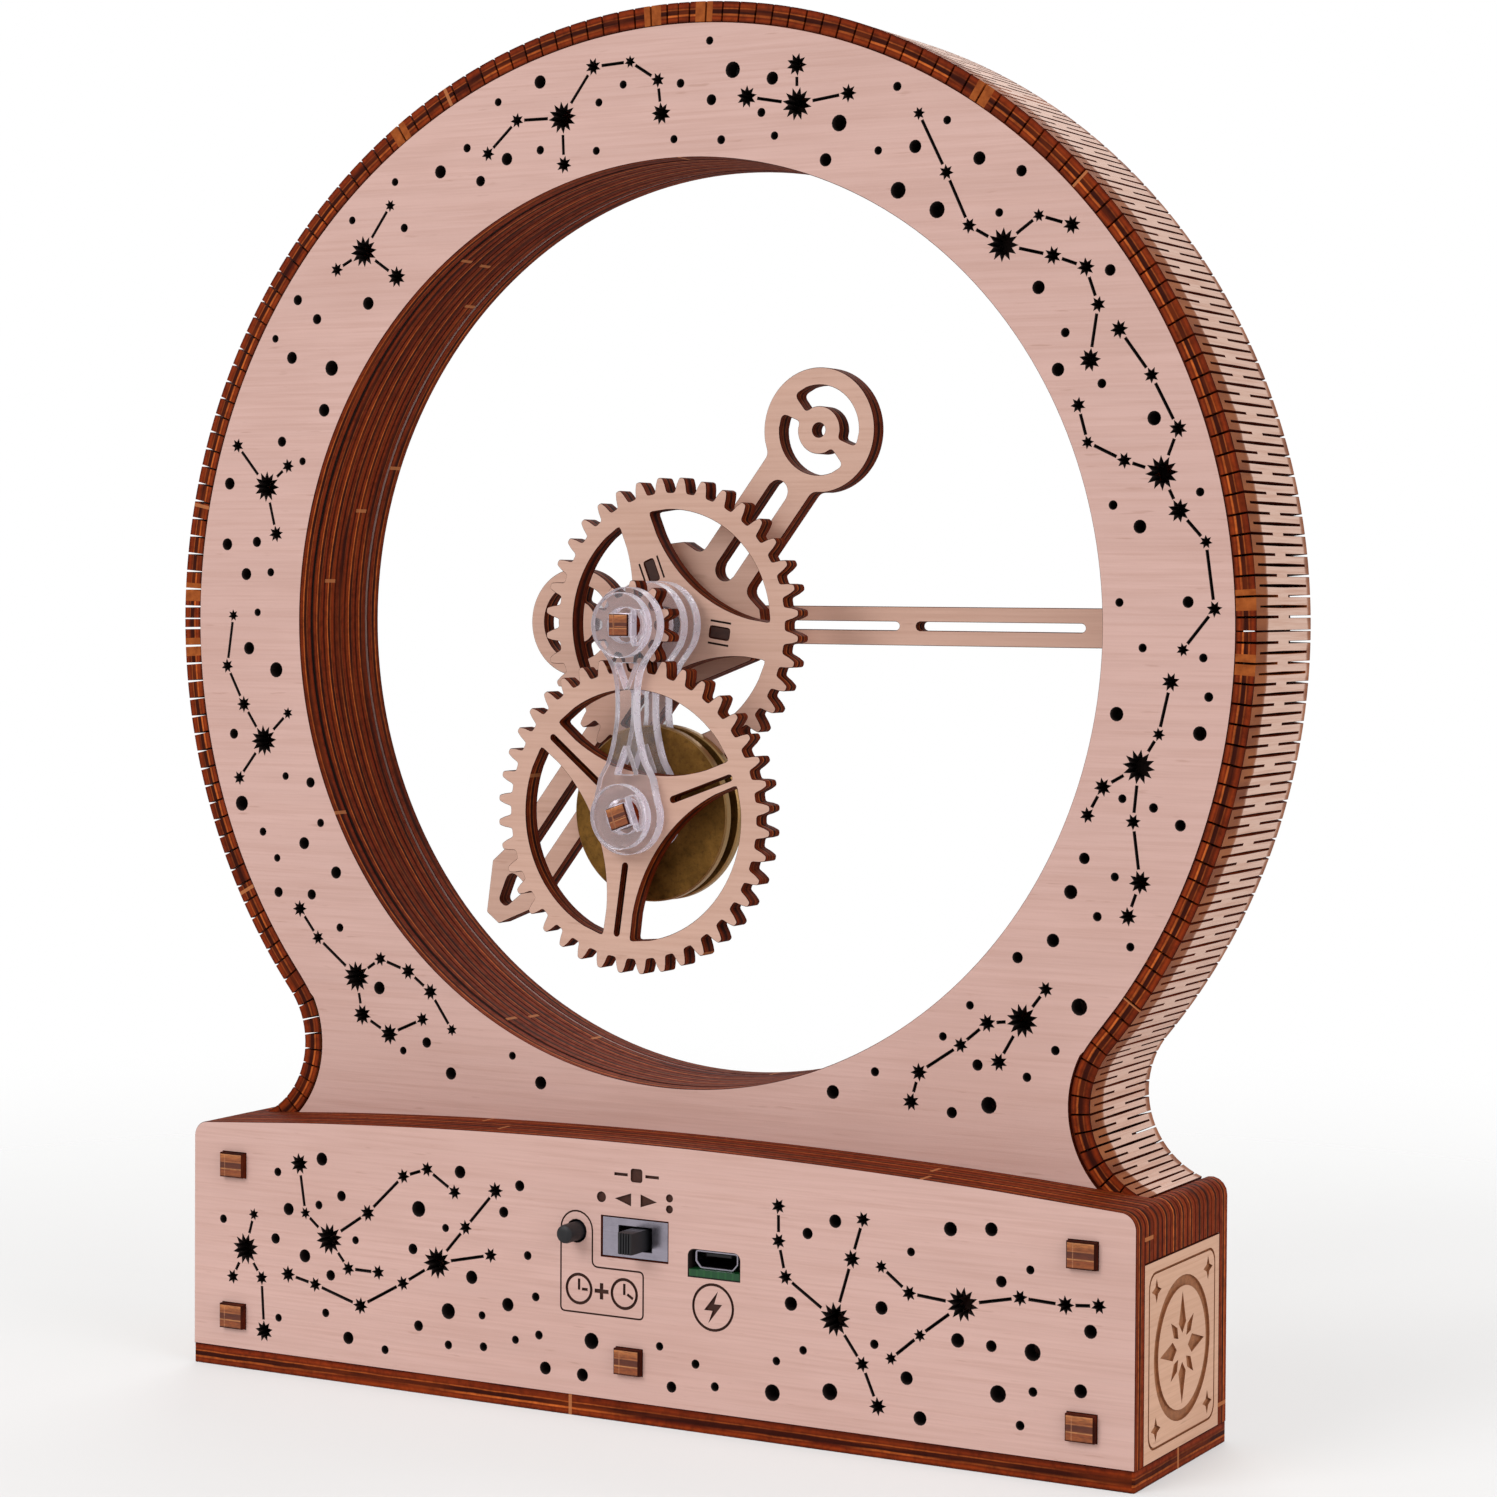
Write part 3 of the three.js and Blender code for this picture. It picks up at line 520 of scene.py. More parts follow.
def burnt_edge(name="burnt_edge", light=1.0, nick=0.14, joints=()):
    """Laser-cut edge of three-ply: two orange-brown plies about a dark one, with glue lines that double
    as painted highlights, and patches of painted shade.

    Joints are angles up the ring where lighter end grain shows.
    """
    s = Shader(name)
    uv, chance = s.uv(), s.chance()
    along, across = s.node("SeparateXYZ", {0: uv}).outputs[:2]
    waver = s.noise(s.stretched(uv, (160, 1.2, 1), chance), 3)
    level = s.math("ADD", across, s.math("MULTIPLY", s.math("SUBTRACT", waver, 0.5), 0.10))

    def tone(r, g, b):
        return tuple(c * light * k for c, k in zip(srgb(r, g, b), (1.08, 0.72, 0.5)))

    plies = s.ramp(
        level,
        (0.00, tone(52, 20, 10)),
        (0.05, tone(108, 44, 19)),
        (0.16, tone(158, 74, 28)),
        (0.26, tone(124, 50, 18)),
        (0.37, tone(80, 29, 13)),
        (0.43, tone(56, 19, 10)),
        (0.60, tone(68, 24, 12)),
        (0.68, tone(110, 46, 19)),
        (0.82, tone(150, 66, 24)),
        (0.95, tone(112, 42, 16)),
        (1.00, tone(46, 16, 8)),
    )
    # Glue lines between the plies, widened and brightened as painted highlights.
    glue_and_highlight = s.ramp(
        level, (0.27, 0.0), (0.31, 1.0), (0.37, 1.0), (0.41, 0.0), (0.59, 0.0), (0.64, 0.7), (0.69, 0.0)
    )
    broken = s.ramp(s.noise(s.stretched(uv, (26, 1.6, 1), chance), 3), (0.38, 0.0), (0.56, 0.95))
    plies = s.mix(s.math("MULTIPLY", glue_and_highlight, broken), plies, tone(232, 142, 74))
    scorch = s.noise(s.stretched(uv, (900, 2.5, 1), chance), 4, 0.6)
    patch = s.noise(s.stretched(uv, (60, 1.5, 1), chance), 3)
    # Large random patches darkened to tone(56, 20, 11): painted shade, strongest in effect along the
    # bore's wall.
    painted_shade_patches = s.noise(s.stretched(uv, (11, 2.2, 1), chance), 2)
    colour = s.mix(s.fade(scorch, 0.42, 0.7, 0.5), plies, tone(50, 17, 8))
    colour = s.mix(s.fade(patch, 0.5, 0.75, 0.4), colour, tone(172, 86, 32))
    colour = s.mix(s.fade(painted_shade_patches, 0.5, 0.72, 0.5), colour, tone(56, 20, 11))
    if joints:
        x, _, z = s.node("SeparateXYZ", {0: s.where()}).outputs[:3]
        rise = s.math("ARCTAN2", s.math("SUBTRACT", z, RING_Z * MM), s.math("ABSOLUTE", x))
        speckle = s.noise(s.stretched(s.where(), (900, 2600, 900)), 3)
        grain = s.mix(speckle, tone(206, 136, 76), tone(112, 52, 20))
        for joint in joints:
            off = s.math("ABSOLUTE", s.math("SUBTRACT", rise, math.radians(joint)))
            colour = s.mix(s.math("LESS_THAN", off, 0.016), colour, grain)
    tick = s.math("FRACT", s.math("ADD", s.math("DIVIDE", along, nick), s.math("MULTIPLY", chance, 7.3)))
    narrow = s.math("LESS_THAN", tick, 0.004)
    colour = s.mix(s.math("MULTIPLY", narrow, 0.75), colour, tone(206, 156, 116))
    s.set(Base_Color=colour, Roughness=s.math("ADD", s.math("MULTIPLY", scorch, 0.25), 0.6))
    s.main.inputs["Specular IOR Level"].default_value = 0.1
    s.bump(s.math("ADD", scorch, level), 0.35, 0.00015)
    return s.material


def engraved(name="engraved", tone=(112, 66, 40)):
    """Shallow laser engraving: evenly browned wood with raster lines."""
    s = Shader(name)
    uv = s.where()
    mottled = s.noise(s.stretched(uv, (1200, 1200, 1200)), 4)
    raster = s.noise(s.stretched(uv, (60, 60, 5200)), 2)
    base = srgb(*tone)
    colour = s.mix(s.ramp(mottled, (0.35, 0.0), (0.7, 1.0)), base, tuple(c * 0.55 for c in base))
    colour = s.mix(s.math("MULTIPLY", raster, 0.35), colour, tuple(min(1, c * 1.9) for c in base))
    s.set(Base_Color=colour, Roughness=0.75)
    s.bump(raster, 0.4, 0.0001)
    return s.material


def painted_shade_inside(name="painted_shade_inside"):
    """Face of a hidden board, painted near-black as the shade deep inside the case."""
    s = Shader(name)
    uv = s.where()
    shade_mottle = s.noise(s.stretched(uv, (240, 240, 1600)), 4)
    s.set(Base_Color=s.mix(shade_mottle, srgb(26, 14, 11), srgb(52, 30, 22)), Roughness=0.85)
    s.bump(shade_mottle, 0.2, 0.0001)
    return s.material


BIRCH = birch_face()
JOINT = engraved("glue_joint", (206, 140, 100))
EDGE_WOOD = burnt_edge("burnt_edge", 0.85)
THIN_EDGE = burnt_edge("thin_edge", 0.6)
ENGRAVED = engraved("engraved", (66, 30, 16))
CHARRED = engraved("charred", (58, 28, 18))
# Walls of the small star and dot holes: laser char darkened to near-black as painted shade inside the
# holes.
HOLE_CHAR_AND_SHADE = engraved("hole_char_and_shade", (30, 14, 10))
INSIDE_SHADE = painted_shade_inside()
WOOD = (BIRCH, EDGE_WOOD, ENGRAVED, HOLE_CHAR_AND_SHADE)
TRAIN_WOOD = (birch_face("train_birch", (216, 176, 158)), THIN_EDGE, CHARRED)
PLAQUE_MARK = engraved("plaque_mark", (160, 102, 64))
PLAQUE = (birch_face("plaque_face", (222, 176, 148)), EDGE_WOOD, PLAQUE_MARK)
# Hidden boards: their faces take the painted shade of the case's inside.
HIDDEN = (INSIDE_SHADE, EDGE_WOOD, ENGRAVED)


def band_wood():
    """Bent strip's outer veneer, scorched along both of its edges."""
    s = Shader("band_wood")
    uv, chance = s.uv(), s.chance()
    across = s.node("SeparateXYZ", {0: uv}).outputs[1]
    fibres = s.noise(s.stretched(uv, (2400, 70, 1), chance), 5, 0.6)
    ragged = s.noise(s.stretched(uv, (260, 40, 1), chance), 4, 0.6)
    sway = s.math("MULTIPLY", s.math("SUBTRACT", ragged, 0.5), 0.0022)
    depth = s.math("MULTIPLY", s.math("ADD", across, sway), 1 / (7 * BOARD * MM))
    base = srgb(236, 198, 180)
    pale = s.mix(s.fade(fibres, 0.45, 0.7, 0.5), base, srgb(198, 140, 112))
    burn = s.ramp(
        depth, (0.0, 1.0), (0.17, 1.0), (0.2, 0.85), (0.22, 0.0), (0.92, 0.0), (0.95, 0.8), (1.0, 1.0)
    )
    toast = s.mix(s.ramp(ragged, (0.35, 0.0), (0.7, 1.0)), srgb(168, 96, 50), srgb(122, 60, 27))
    s.set(Base_Color=s.mix(burn, pale, toast), Roughness=0.6)
    s.main.inputs["Specular IOR Level"].default_value = 0.3
    s.bump(fibres, 0.25, 0.00012)
    return s.material


def end_grain():
    """Sawn end of a peg: plies side by side, darkest in the middle, with a painted highlight along the
    top and painted shade along the bottom.
    """
    s = Shader("end_grain")
    uv = s.uv()
    along, across = s.node("SeparateXYZ", {0: uv}).outputs[:2]
    # The stops towards 1.0 are lightened as a painted highlight along the top edge, and the stop at 0.0
    # darkened as painted shade along the bottom; the plies between are the wood's own.
    plies = s.ramp(
        across,
        (0.00, srgb(104, 50, 20)),
        (0.12, srgb(162, 84, 36)),
        (0.31, srgb(142, 68, 28)),
        (0.35, srgb(214, 142, 84)),
        (0.39, srgb(106, 45, 18)),
        (0.60, srgb(94, 39, 17)),
        (0.64, srgb(184, 110, 60)),
        (0.68, srgb(146, 74, 32)),
        (0.90, srgb(196, 118, 62)),
        (1.00, srgb(228, 160, 108)),
    )
    near = s.math("ABSOLUTE", s.math("SUBTRACT", along, 0.24))
    plies = s.mix(s.math("MULTIPLY", s.math("LESS_THAN", near, 0.018), 0.5), plies, srgb(206, 140, 96))
    scorch = s.noise(s.stretched(uv, (4, 16, 1), s.chance()), 5, 0.65)
    burnt = s.ramp(scorch, (0.4, 0.0), (0.75, 0.7))
    s.set(Base_Color=s.mix(burnt, plies, srgb(58, 20, 10)), Roughness=0.6)
    s.bump(scorch, 0.3, 0.00015)
    return s.material


def brass(name, light):
    """Antique brass with a mottled patina, mixed by light towards a painted highlight colour."""
    s = Shader(name)
    where = s.where()
    patina = s.noise(s.stretched(where, (260, 260, 260)), 6, 0.65)
    fine = s.noise(s.stretched(where, (2600, 2600, 2600)), 3)
    specks = s.noise(s.stretched(where, (1500, 1500, 1500)), 4, 0.7)
    low, high = srgb(98, 67, 26), srgb(152, 110, 52)
    colour = s.mix(s.ramp(patina, (0.3, 0.0), (0.7, 1.0)), low, high)
    colour = s.mix(s.ramp(specks, (0.5, 0.0), (0.72, 0.6)), colour, srgb(66, 42, 22))
    # light mixes in a painted highlight colour, and lowers the roughness with it.
    colour = s.mix(light, colour, srgb(224, 186, 130))
    rough = s.math("ADD", s.math("MULTIPLY", patina, 0.22), 0.42 - 0.24 * light)
    s.set(Base_Color=colour, Metallic=0.9, Roughness=rough)
    s.bump(s.math("ADD", fine, s.math("MULTIPLY", patina, 0.7)), 0.3, 0.00008)
    return s.material


def acrylic(name, rough, tint, milk, painted_glow):
    """Clear cast acrylic; a little milkier where it is laser-cut, with a faint painted glow, strongest
    on its cut edges.
    """
    s = Shader(name)
    smear = s.noise(s.stretched(s.where(), (420, 420, 420)), 3)
    s.set(
        Base_Color=s.mix(s.ramp(smear, (0.4, 0.0), (0.8, 0.3)), tint, (0.9, 0.88, 0.93)),
        Roughness=s.math("ADD", s.math("MULTIPLY", smear, 0.05), rough),
        Transmission_Weight=1.0 - milk,
        IOR=1.49,
        Emission_Color=(0.93, 0.86, 0.96, 1),
        Emission_Strength=painted_glow,
    )
    s.bump(smear, 0.12, 0.00006)
    return s.material


def metal(name, tone, rough, stretch=(60, 60, 2600)):
    s = Shader(name)
    lines = s.noise(s.stretched(s.where(), stretch), 4)
    spots = s.noise(s.stretched(s.where(), (700, 700, 700)), 4)
    base = srgb(*tone)
    s.set(
        Base_Color=s.mix(s.ramp(spots, (0.4, 0.0), (0.75, 0.4)), base, tuple(c * 0.6 for c in base)),
        Metallic=1.0,
        Roughness=s.math("ADD", s.math("MULTIPLY", lines, 0.2), rough),
    )
    s.bump(lines, 0.15, 0.00005)
    return s.material


def moulded(name, tone, rough=0.42):
    s = Shader(name)
    grain = s.noise(s.stretched(s.where(), (3600, 3600, 3600)), 3)
    cloud = s.noise(s.stretched(s.where(), (300, 300, 300)), 3)
    base = srgb(*tone)
    s.set(
        Base_Color=s.mix(cloud, base, tuple(c * 1.5 for c in base)),
        Roughness=s.math("ADD", s.math("MULTIPLY", cloud, 0.2), rough),
    )
    s.bump(grain, 0.25, 0.00006)
    return s.material


def solder_mask():
    """Green board with copper tracks under its lacquer."""
    s = Shader("solder_mask")
    where = s.where()
    tracks = s.node("TexBrick", {"Vector": s.stretched(where, (420, 420, 420)), "Scale": 1.0})
    tracks.inputs["Mortar Size"].default_value = 0.06
    share = s.math("MULTIPLY", tracks.outputs["Fac"], 0.4)
    cloud = s.noise(s.stretched(where, (500, 500, 500)), 3)
    green = s.mix(cloud, srgb(10, 58, 30), srgb(18, 84, 42))
    s.set(Base_Color=s.mix(share, green, srgb(40, 104, 48)), Roughness=0.3)
    s.bump(tracks.outputs["Fac"], 0.2, 0.00005)
    return s.material


BAND_EDGE = burnt_edge("band_edge", 0.85, joints=(-2.9, 2.7, 56.5, 87.2))
BAND = (band_wood(), BAND_EDGE, ENGRAVED)
PEG_END = end_grain()
# The rim copy is lightened by a painted highlight, the groove copy a little.
BRASS = (brass("brass_face", 0.0), brass("brass_rim_highlight", 0.45), brass("brass_groove", 0.1))
# Each copy glows faintly as painted light; the cut edges and marks glow most.
CLEAR = (
    acrylic("clear_face", 0.02, (0.975, 0.96, 0.98), 0.02, 0.01),
    acrylic("clear_edge", 0.25, (0.93, 0.86, 0.94), 0.3, 0.08),
    acrylic("clear_mark", 0.25, (0.93, 0.86, 0.94), 0.3, 0.06),
)
STEEL = metal("plated_steel", (176, 170, 184), 0.12)
BLACK = moulded("black_plastic", (20, 20, 24))
GREEN = solder_mask()
SHEATH = moulded("cable_sheath", (140, 32, 28), 0.5)

# ---- Star patterns -------------------------------------------------------------------------
# Rays and inner share of a star, by its radius. The largest is the bright star of a figure.
RAYS = {2.35: (12, 0.58), 1.55: (9, 0.55), 1.25: (8, 0.5), 1.05: (7, 0.5), 0.85: (7, 0.5)}
BRIGHT = max(RAYS)
FAINT = (1.55, 1.25, 1.25, 1.05, 1.05, 1.05, 0.85)
STAR_GAP = 1.8
SLIT_GAP = 1.3


class Sky:
    """Made-up star figures joined by slits, and scattered dots, all cut through a panel."""

    def __init__(self, seed):
        self.dice = random.Random(seed)
        self.stars, self.slits, self.dots = {}, [], []

    def joined(self, start, heading, allowed):
        """A new star joined to the start by a slit, where there is room for both, or None."""
        x, z, r = start
        for _ in range(25):
            size = self.dice.choice(FAINT)
            length = self.dice.uniform(4.5, 10)
            turn = heading + self.dice.uniform(-0.95, 0.95)
            step = np.array([math.cos(turn), math.sin(turn)])
            end = (x + length * step[0], z + length * step[1], size)
            along = np.arange(r + SLIT_GAP + 0.1, length, 0.4)
            path = [(x + far * step[0], z + far * step[1]) for far in along]
            room = allowed(end[0], end[1], size + 1.5) and self.free(end[0], end[1], size + STAR_GAP)
            if room and all(self.free(px, pz, SLIT_GAP) for px, pz in path):
                self.stars[end[:2]] = size
                self.slits.append((start, end))
                return end
        return None

    def figure(self, x, z, allowed):
        """Three arms of faint stars that wander away from a bright one."""
        if not (allowed(x, z, BRIGHT + 1.5) and self.free(x, z, BRIGHT + STAR_GAP)):
            return
        self.stars[(x, z)] = BRIGHT
        first = self.dice.uniform(0, 2 * math.pi)
        for arm in range(3):
            at, heading = (x, z, BRIGHT), first + arm * 2 * math.pi / 3
            for _ in range(self.dice.randint(1, 4)):
                star_at = self.joined(at, heading, allowed)
                if star_at is None:
                    break
                heading = math.atan2(star_at[1] - at[1], star_at[0] - at[0])
                at = star_at

    def free(self, x, z, gap):
        """Whether a dot may be centred here, with a gap to everything already cut."""
        for (sx, sz), r in self.stars.items():
            if math.hypot(x - sx, z - sz) < r + gap:
                return False
        for (px, pz, _), (qx, qz, _) in self.slits:
            dx, dz = qx - px, qz - pz
            t = ((x - px) * dx + (z - pz) * dz) / (dx * dx + dz * dz)
            t = min(1, max(0, t))
            if math.hypot(x - px - t * dx, z - pz - t * dz) < gap:
                return False
        return all(math.hypot(x - dx, z - dz) > 1.9 * gap + r for dx, dz, r in self.dots)

    def scatter(self, count, low, high, allowed):
        for _ in range(60 * count):
            if len(self.dots) >= count:
                break
            x = self.dice.uniform(low[0], high[0])
            z = self.dice.uniform(low[1], high[1])
            r = self.dice.choice((0.55, 0.6, 0.75, 0.9, 0.95, 1.15))
            if allowed(x, z, r + 1.6) and self.free(x, z, r + 1.3):
                self.dots.append((x, z, r))

    def cuts(self):
        loops = []
        for (x, z), r in self.stars.items():
            rays, inner = RAYS[r]
            loops.append(star(x, z, r, rays, inner, self.dice.uniform(0, 1)))
        for p, q in self.slits:
            p, q = np.array(p), np.array(q)
            d = (q - p)[:2] / np.linalg.norm((q - p)[:2])
            start, end = p[:2] + d * (p[2] + 0.3), q[:2] - d * (q[2] + 0.3)
            if np.dot(end - start, d) > 0.25:
                loops.append(bar(start, end, 0.34))
        loops += [circle(x, z, r, 14) for x, z, r in self.dots]
        return loops


def on_ring(x, z, gap):
    """On the ring's face, and clear of the base boards in front of it."""
    far = math.hypot(x, z - RING_Z)
    return BORE_R + gap < far < PANEL_R - gap and z > 44 + gap


def on_base(x, z, gap):
    boxes = [(0, 9), (-72.2, 8.1), (72.2, 8.1), (-72.2, 31.7), (72.2, 31.7)]
    pegs = any(max(abs(x - px), abs(z - pz)) < 2.4 + gap for px, pz in boxes)
    controls = -14 - gap < x < 22 + gap and z > 12
    return abs(x) < 78 - gap and 3 + gap < z < 37 - gap and not pegs and not controls


def ring_sky(seed, figures, dots):
    """Star figures spread along the part of the ring that shows above the base."""
    sky = Sky(seed)
    for turn in np.radians(np.linspace(-44, 224, figures)):
        far = (BORE_R + PANEL_R) / 2 + sky.dice.uniform(-3, 3)
        sky.figure(far * math.cos(turn), RING_Z + far * math.sin(turn), on_ring)
    sky.scatter(dots, (-87, 30), (87, 205), on_ring)
    return sky


def base_sky(seed, dots, allowed):
    """Star figures on both sides of the base's middle."""
    sky = Sky(seed)
    for side in (-1, 1):
        for across in (34, 54, 70):
            sky.figure(side * across, 20.5 + sky.dice.uniform(-4, 4), allowed)
    sky.scatter(dots, (-78, 4), (78, 37), allowed)
    return sky


# ---- Base ----------------------------------------------------------------------------------
def pictograms():
    """Shallow engraving round the controls: plain signs in place of words."""
    signs = []
    turns = np.arange(13) * math.pi / 12
    lobe = [(-9.15 + 2.85 * math.cos(a), 27.55 + 2.85 * math.sin(a)) for a in turns]
    outline = np.array([(2.45, 15.2), (2.45, 22.4), (-6.3, 22.4)] + lobe + [(-12.0, 15.2)])
    outline = rounded(outline, 0.9)
    signs.append(oriented([outline, offset(outline, 0.26)]))
    for side in (-1, 1):
        tip, back = 1.0 + side * 3.6, 1.0 + side * 0.8
        signs.append([np.array([(tip, 32.7), (back, 33.65), (back, 31.75)])[:: -side]])
    dots = ((-4.9, 32.7, 0.8), (6.7, 33.5, 0.6), (6.7, 31.9, 0.6))
    signs += [[circle(x, z, r, 16)] for x, z, r in dots]
    signs += [[bar((-2.7, 36.3), (-0.4, 36.3), 0.45)], [bar((2.6, 36.3), (4.9, 36.3), 0.45)]]
    signs.append([box_loop(0.1, 35.3, 2.1, 37.3, 0.4)])
    for x, ahead in ((-8.7, 0), (-0.9, 1)):
        signs.append(oriented([circle(x, 18.8, 2.35, 32), circle(x, 18.8, 1.9, 32)]))
        signs.append([bar((x, 18.65), (x, 20.3), 0.42)])
        signs.append([bar((x + 0.5, 18.8), (x + 1.5, 18.8 - 0.6 * ahead), 0.42)])
    plus = [(-6.0, 18.5), (-5.1, 18.5), (-5.1, 17.6), (-4.5, 17.6), (-4.5, 18.5), (-3.6, 18.5)]
    plus += [(-3.6, 19.1), (-4.5, 19.1), (-4.5, 20.0), (-5.1, 20.0), (-5.1, 19.1), (-6.0, 19.1)]
    signs.append([np.array(plus)])
    bolt = [(14.9, 20.8), (12.6, 17.9), (14.0, 17.9), (13.3, 16.0), (15.6, 18.9), (14.3, 18.9)]
    signs.append([np.array(bolt)])
    signs.append(oriented([circle(14.1, 18.4, 3.5, 36), circle(14.1, 18.4, 3.1, 36)]))
    return [(sign, 0.3) for sign in signs]


def tie_pegs():
    for side in ("middle", "lower_left", "upper_left", "lower_right", "upper_right"):
        node = "tie_peg_" + side
        low, high = span(node)
        build = board(loops_of(node), low[1], high[1], chamfer=0.2)
        wide, _, tall = high - low
        build.uvs = [
            ((u / MM - low[0]) / wide, (v / MM - low[2]) / tall) if kind == FACE else (u, v)
            for (u, v), kind in zip(build.uvs, np.repeat(build.kinds, [len(f) for f in build.faces]))
        ]
        piece(node, build, (PEG_END, EDGE_WOOD, ENGRAVED), "inner_board", node)


def plaque(node, place, low, high):
    """End plate with a rounded line and an eight-pointed wind rose."""
    a, b = span(node)
    y0, y1, z0, z1 = a[1], b[1], a[2], b[2]
    mid_y, mid_z = (y0 + y1) / 2, (z0 + z1) / 2
    line = oriented([
        box_loop(y0 + 1.5, z0 + 1.5, y1 - 1.5, z1 - 1.5, 2.2),
        box_loop(y0 + 1.85, z0 + 1.85, y1 - 1.85, z1 - 1.85, 2.0),
    ])
    reach = min(y1 - y0, z1 - z0) / 2 - 3.4
    ring = oriented([circle(mid_y, mid_z, reach, 48), circle(mid_y, mid_z, reach - 1.5, 48)])
    marks = [(line, 0.35), (ring, 0.4)]
    for k in range(8):
        far, half = (reach - 2.2, 0.13) if k % 2 == 0 else (0.72 * reach - 1.5, 0.085)
        ray = [(0.34 * reach, -half * reach), (0.2 * reach, 0), (0.34 * reach, half * reach), (far, 0)]
        marks.append(([moved(ray, mid_y, mid_z, k * math.pi / 4)], 0.4))
    for dy in (-1, 1):
        for dz in (-1, 1):
            spot = (mid_y + dy * ((y1 - y0) / 2 - 4.2), mid_z + dz * ((z1 - z0) / 2 - 4.2))
            marks.append(([star(*spot, 1.7, 4, 0.42)], 0.4))
    build = board([box_loop(y0, z0, y1, z1)], low, high, place, marks)
    piece(node, build, PLAQUE, "birch_face", node)


def base():
    low, high = span("base_bottom_plate")
    outline = box_loop(low[0], low[1], high[0], high[1], 0.4)
    build = board([outline], low[2], high[2], lying)
    piece("base_bottom_plate", build, WOOD, "birch_face", "base_bottom_plate")

    cuts = loops_of("base_rear_plate") + base_sky(11, 62, on_base).cuts()
    cad_board("base_rear_plate", WOOD, "birch_face", cuts, pockets=pictograms(), small=40)

    inner = [f"base_rib_{i}" for i in (1, 2, 3)] + [f"case_spacer_{i}" for i in range(1, 6)]
    for node in inner:
        cad_board(node, HIDDEN, "inner_board", play=0.03)

    a, b = span("left_end_plaque")
    plaque("left_end_plaque", sideways, a[0], b[0])
    a, b = span("right_end_plaque")
    plaque("right_end_plaque", lambda p: p[:, [2, 0, 1]] * (-1, 1, 1), -b[0], -a[0])
    tie_pegs()


# ---- Ring case -----------------------------------------------------------------------------
def dial_side(points):
    """Board in the plane of the panels, with its low face on the dial side."""
    return points[:, [0, 2, 1]] * (1, -1, 1)


def snug(loops):
    """The panel's loops, with its round outline grown to meet the rim band."""
    outline = loops[0] - (0, RING_Z)
    far = np.linalg.norm(outline, axis=1)
    grown = (PANEL_R + BAND_IN - 0.04) / PANEL_R
    outline *= np.where(abs(far - PANEL_R) < 0.3, grown, 1)[:, None]
    return [outline + (0, RING_Z)] + loops[1:]


def panels():
    cuts = snug(loops_of("ring_rear_panel")) + ring_sky(5, 10, 104).cuts()
    build = board(cuts, REAR_Y, REAR_Y + BOARD, small=25)
    piece("ring_rear_panel", build, WOOD, "birch_face", "ring_rear_panel")

    marks = []
    for hour in range(12):
        a = hour * math.pi / 6
        d = np.array([math.sin(a), math.cos(a)])
        centre = np.array([0, RING_Z])
        reach = (74, 84.5) if hour % 3 == 0 else (76.5, 83)
        marks.append(bar(centre + d * reach[0], centre + d * reach[1], 1.6 if hour % 3 == 0 else 1.0))
    ticks = []
    for minute in range(60):
        if minute % 5:
            a = minute * math.pi / 30
            ticks.append(([circle(82 * math.sin(a), RING_Z + 82 * math.cos(a), 0.55, 12)], 0.4))
    loops = snug(loops_of("front_panel")) + marks + base_sky(23, 40, on_base).cuts()
    build = board(loops, -FRONT_Y, -FRONT_Y + BOARD, dial_side, ticks, small=25)
    piece("front_panel", build, WOOD, "birch_face", "front_panel")


def bent(centre, inner, start, end, sign, side):
    """Places a flat strip along an arc, its thickness growing away from the arc when sign is 1."""
    direction = math.copysign(1, end - start)

    def place(points, begin=0.0):
        a = start + direction * (points[:, 0] - begin) / inner
        r = inner + sign * points[:, 2]
        x = centre[0] + r * np.cos(a)
        return np.stack([side * x, points[:, 1] + REAR_Y, centre[1] + r * np.sin(a)], 1)

    return place, inner * abs(end - start)


def kerf_strip(length, pitch=2.77):
    """Outline and slits of a flat strip: middle slits alternate with slits in from both edges."""
    deep = 7 * BOARD
    rows = int((length - 1.7) / pitch)
    first = (length - rows * pitch) / 2
    lower, upper, slits = [(0, 0)], [(0, deep)], []
    for k in range(rows + 1):
        s = first + k * pitch
        for line, edge, inward in ((lower, 0, 8.3), (upper, deep, deep - 8.7)):
            line += [(s - 0.16, edge), (s - 0.14, inward), (s + 0.14, inward), (s + 0.16, edge)]
            if k < rows:
                line.append((s + pitch / 2, edge))
        if k < rows:
            m = s + pitch / 2
            slits.append(np.array([
                (m - 0.13, 1.5), (m + 0.13, 1.5), (m + 0.2, 10.5), (m + 0.13, deep - 1.5),
                (m - 0.13, deep - 1.5), (m - 0.2, 10.5),
            ]))
    lower.append((length, 0))
    upper.append((length, deep))
    return [np.array(lower + upper[::-1])] + slits


def bands():
    inner = PANEL_R + BAND_IN
    neck_turn = math.atan2(NECK_Z - RING_Z, NECK_X)
    seam = 0.1 / inner
    for side, name in ((1, "right"), (-1, "left")):
        place, length = bent((0, RING_Z), inner, seam, math.pi / 2 - seam, 1, side)
        node = "rim_band_upper_" + name
        build = board(kerf_strip(length), 0, BAND_T, place, chamfer=0.05)
        piece(node, build, BAND, "birch_face", node)

        ring_place, ring_length = bent((0, RING_Z), inner, -seam, neck_turn, 1, side)
        neck_inner = NECK_R - BAND_IN
        neck_place, neck_length = bent(
            (NECK_X, NECK_Z), neck_inner, math.pi + neck_turn, math.radians(250), -1, side
        )

        def place(points):
            on_neck = points[:, :1] > ring_length
            return np.where(on_neck, neck_place(points, ring_length), ring_place(points))

        node = "rim_band_lower_" + name
        build = board(kerf_strip(ring_length + neck_length), 0, BAND_T, place, chamfer=0.05)
        piece(node, build, BAND, "birch_face", node)


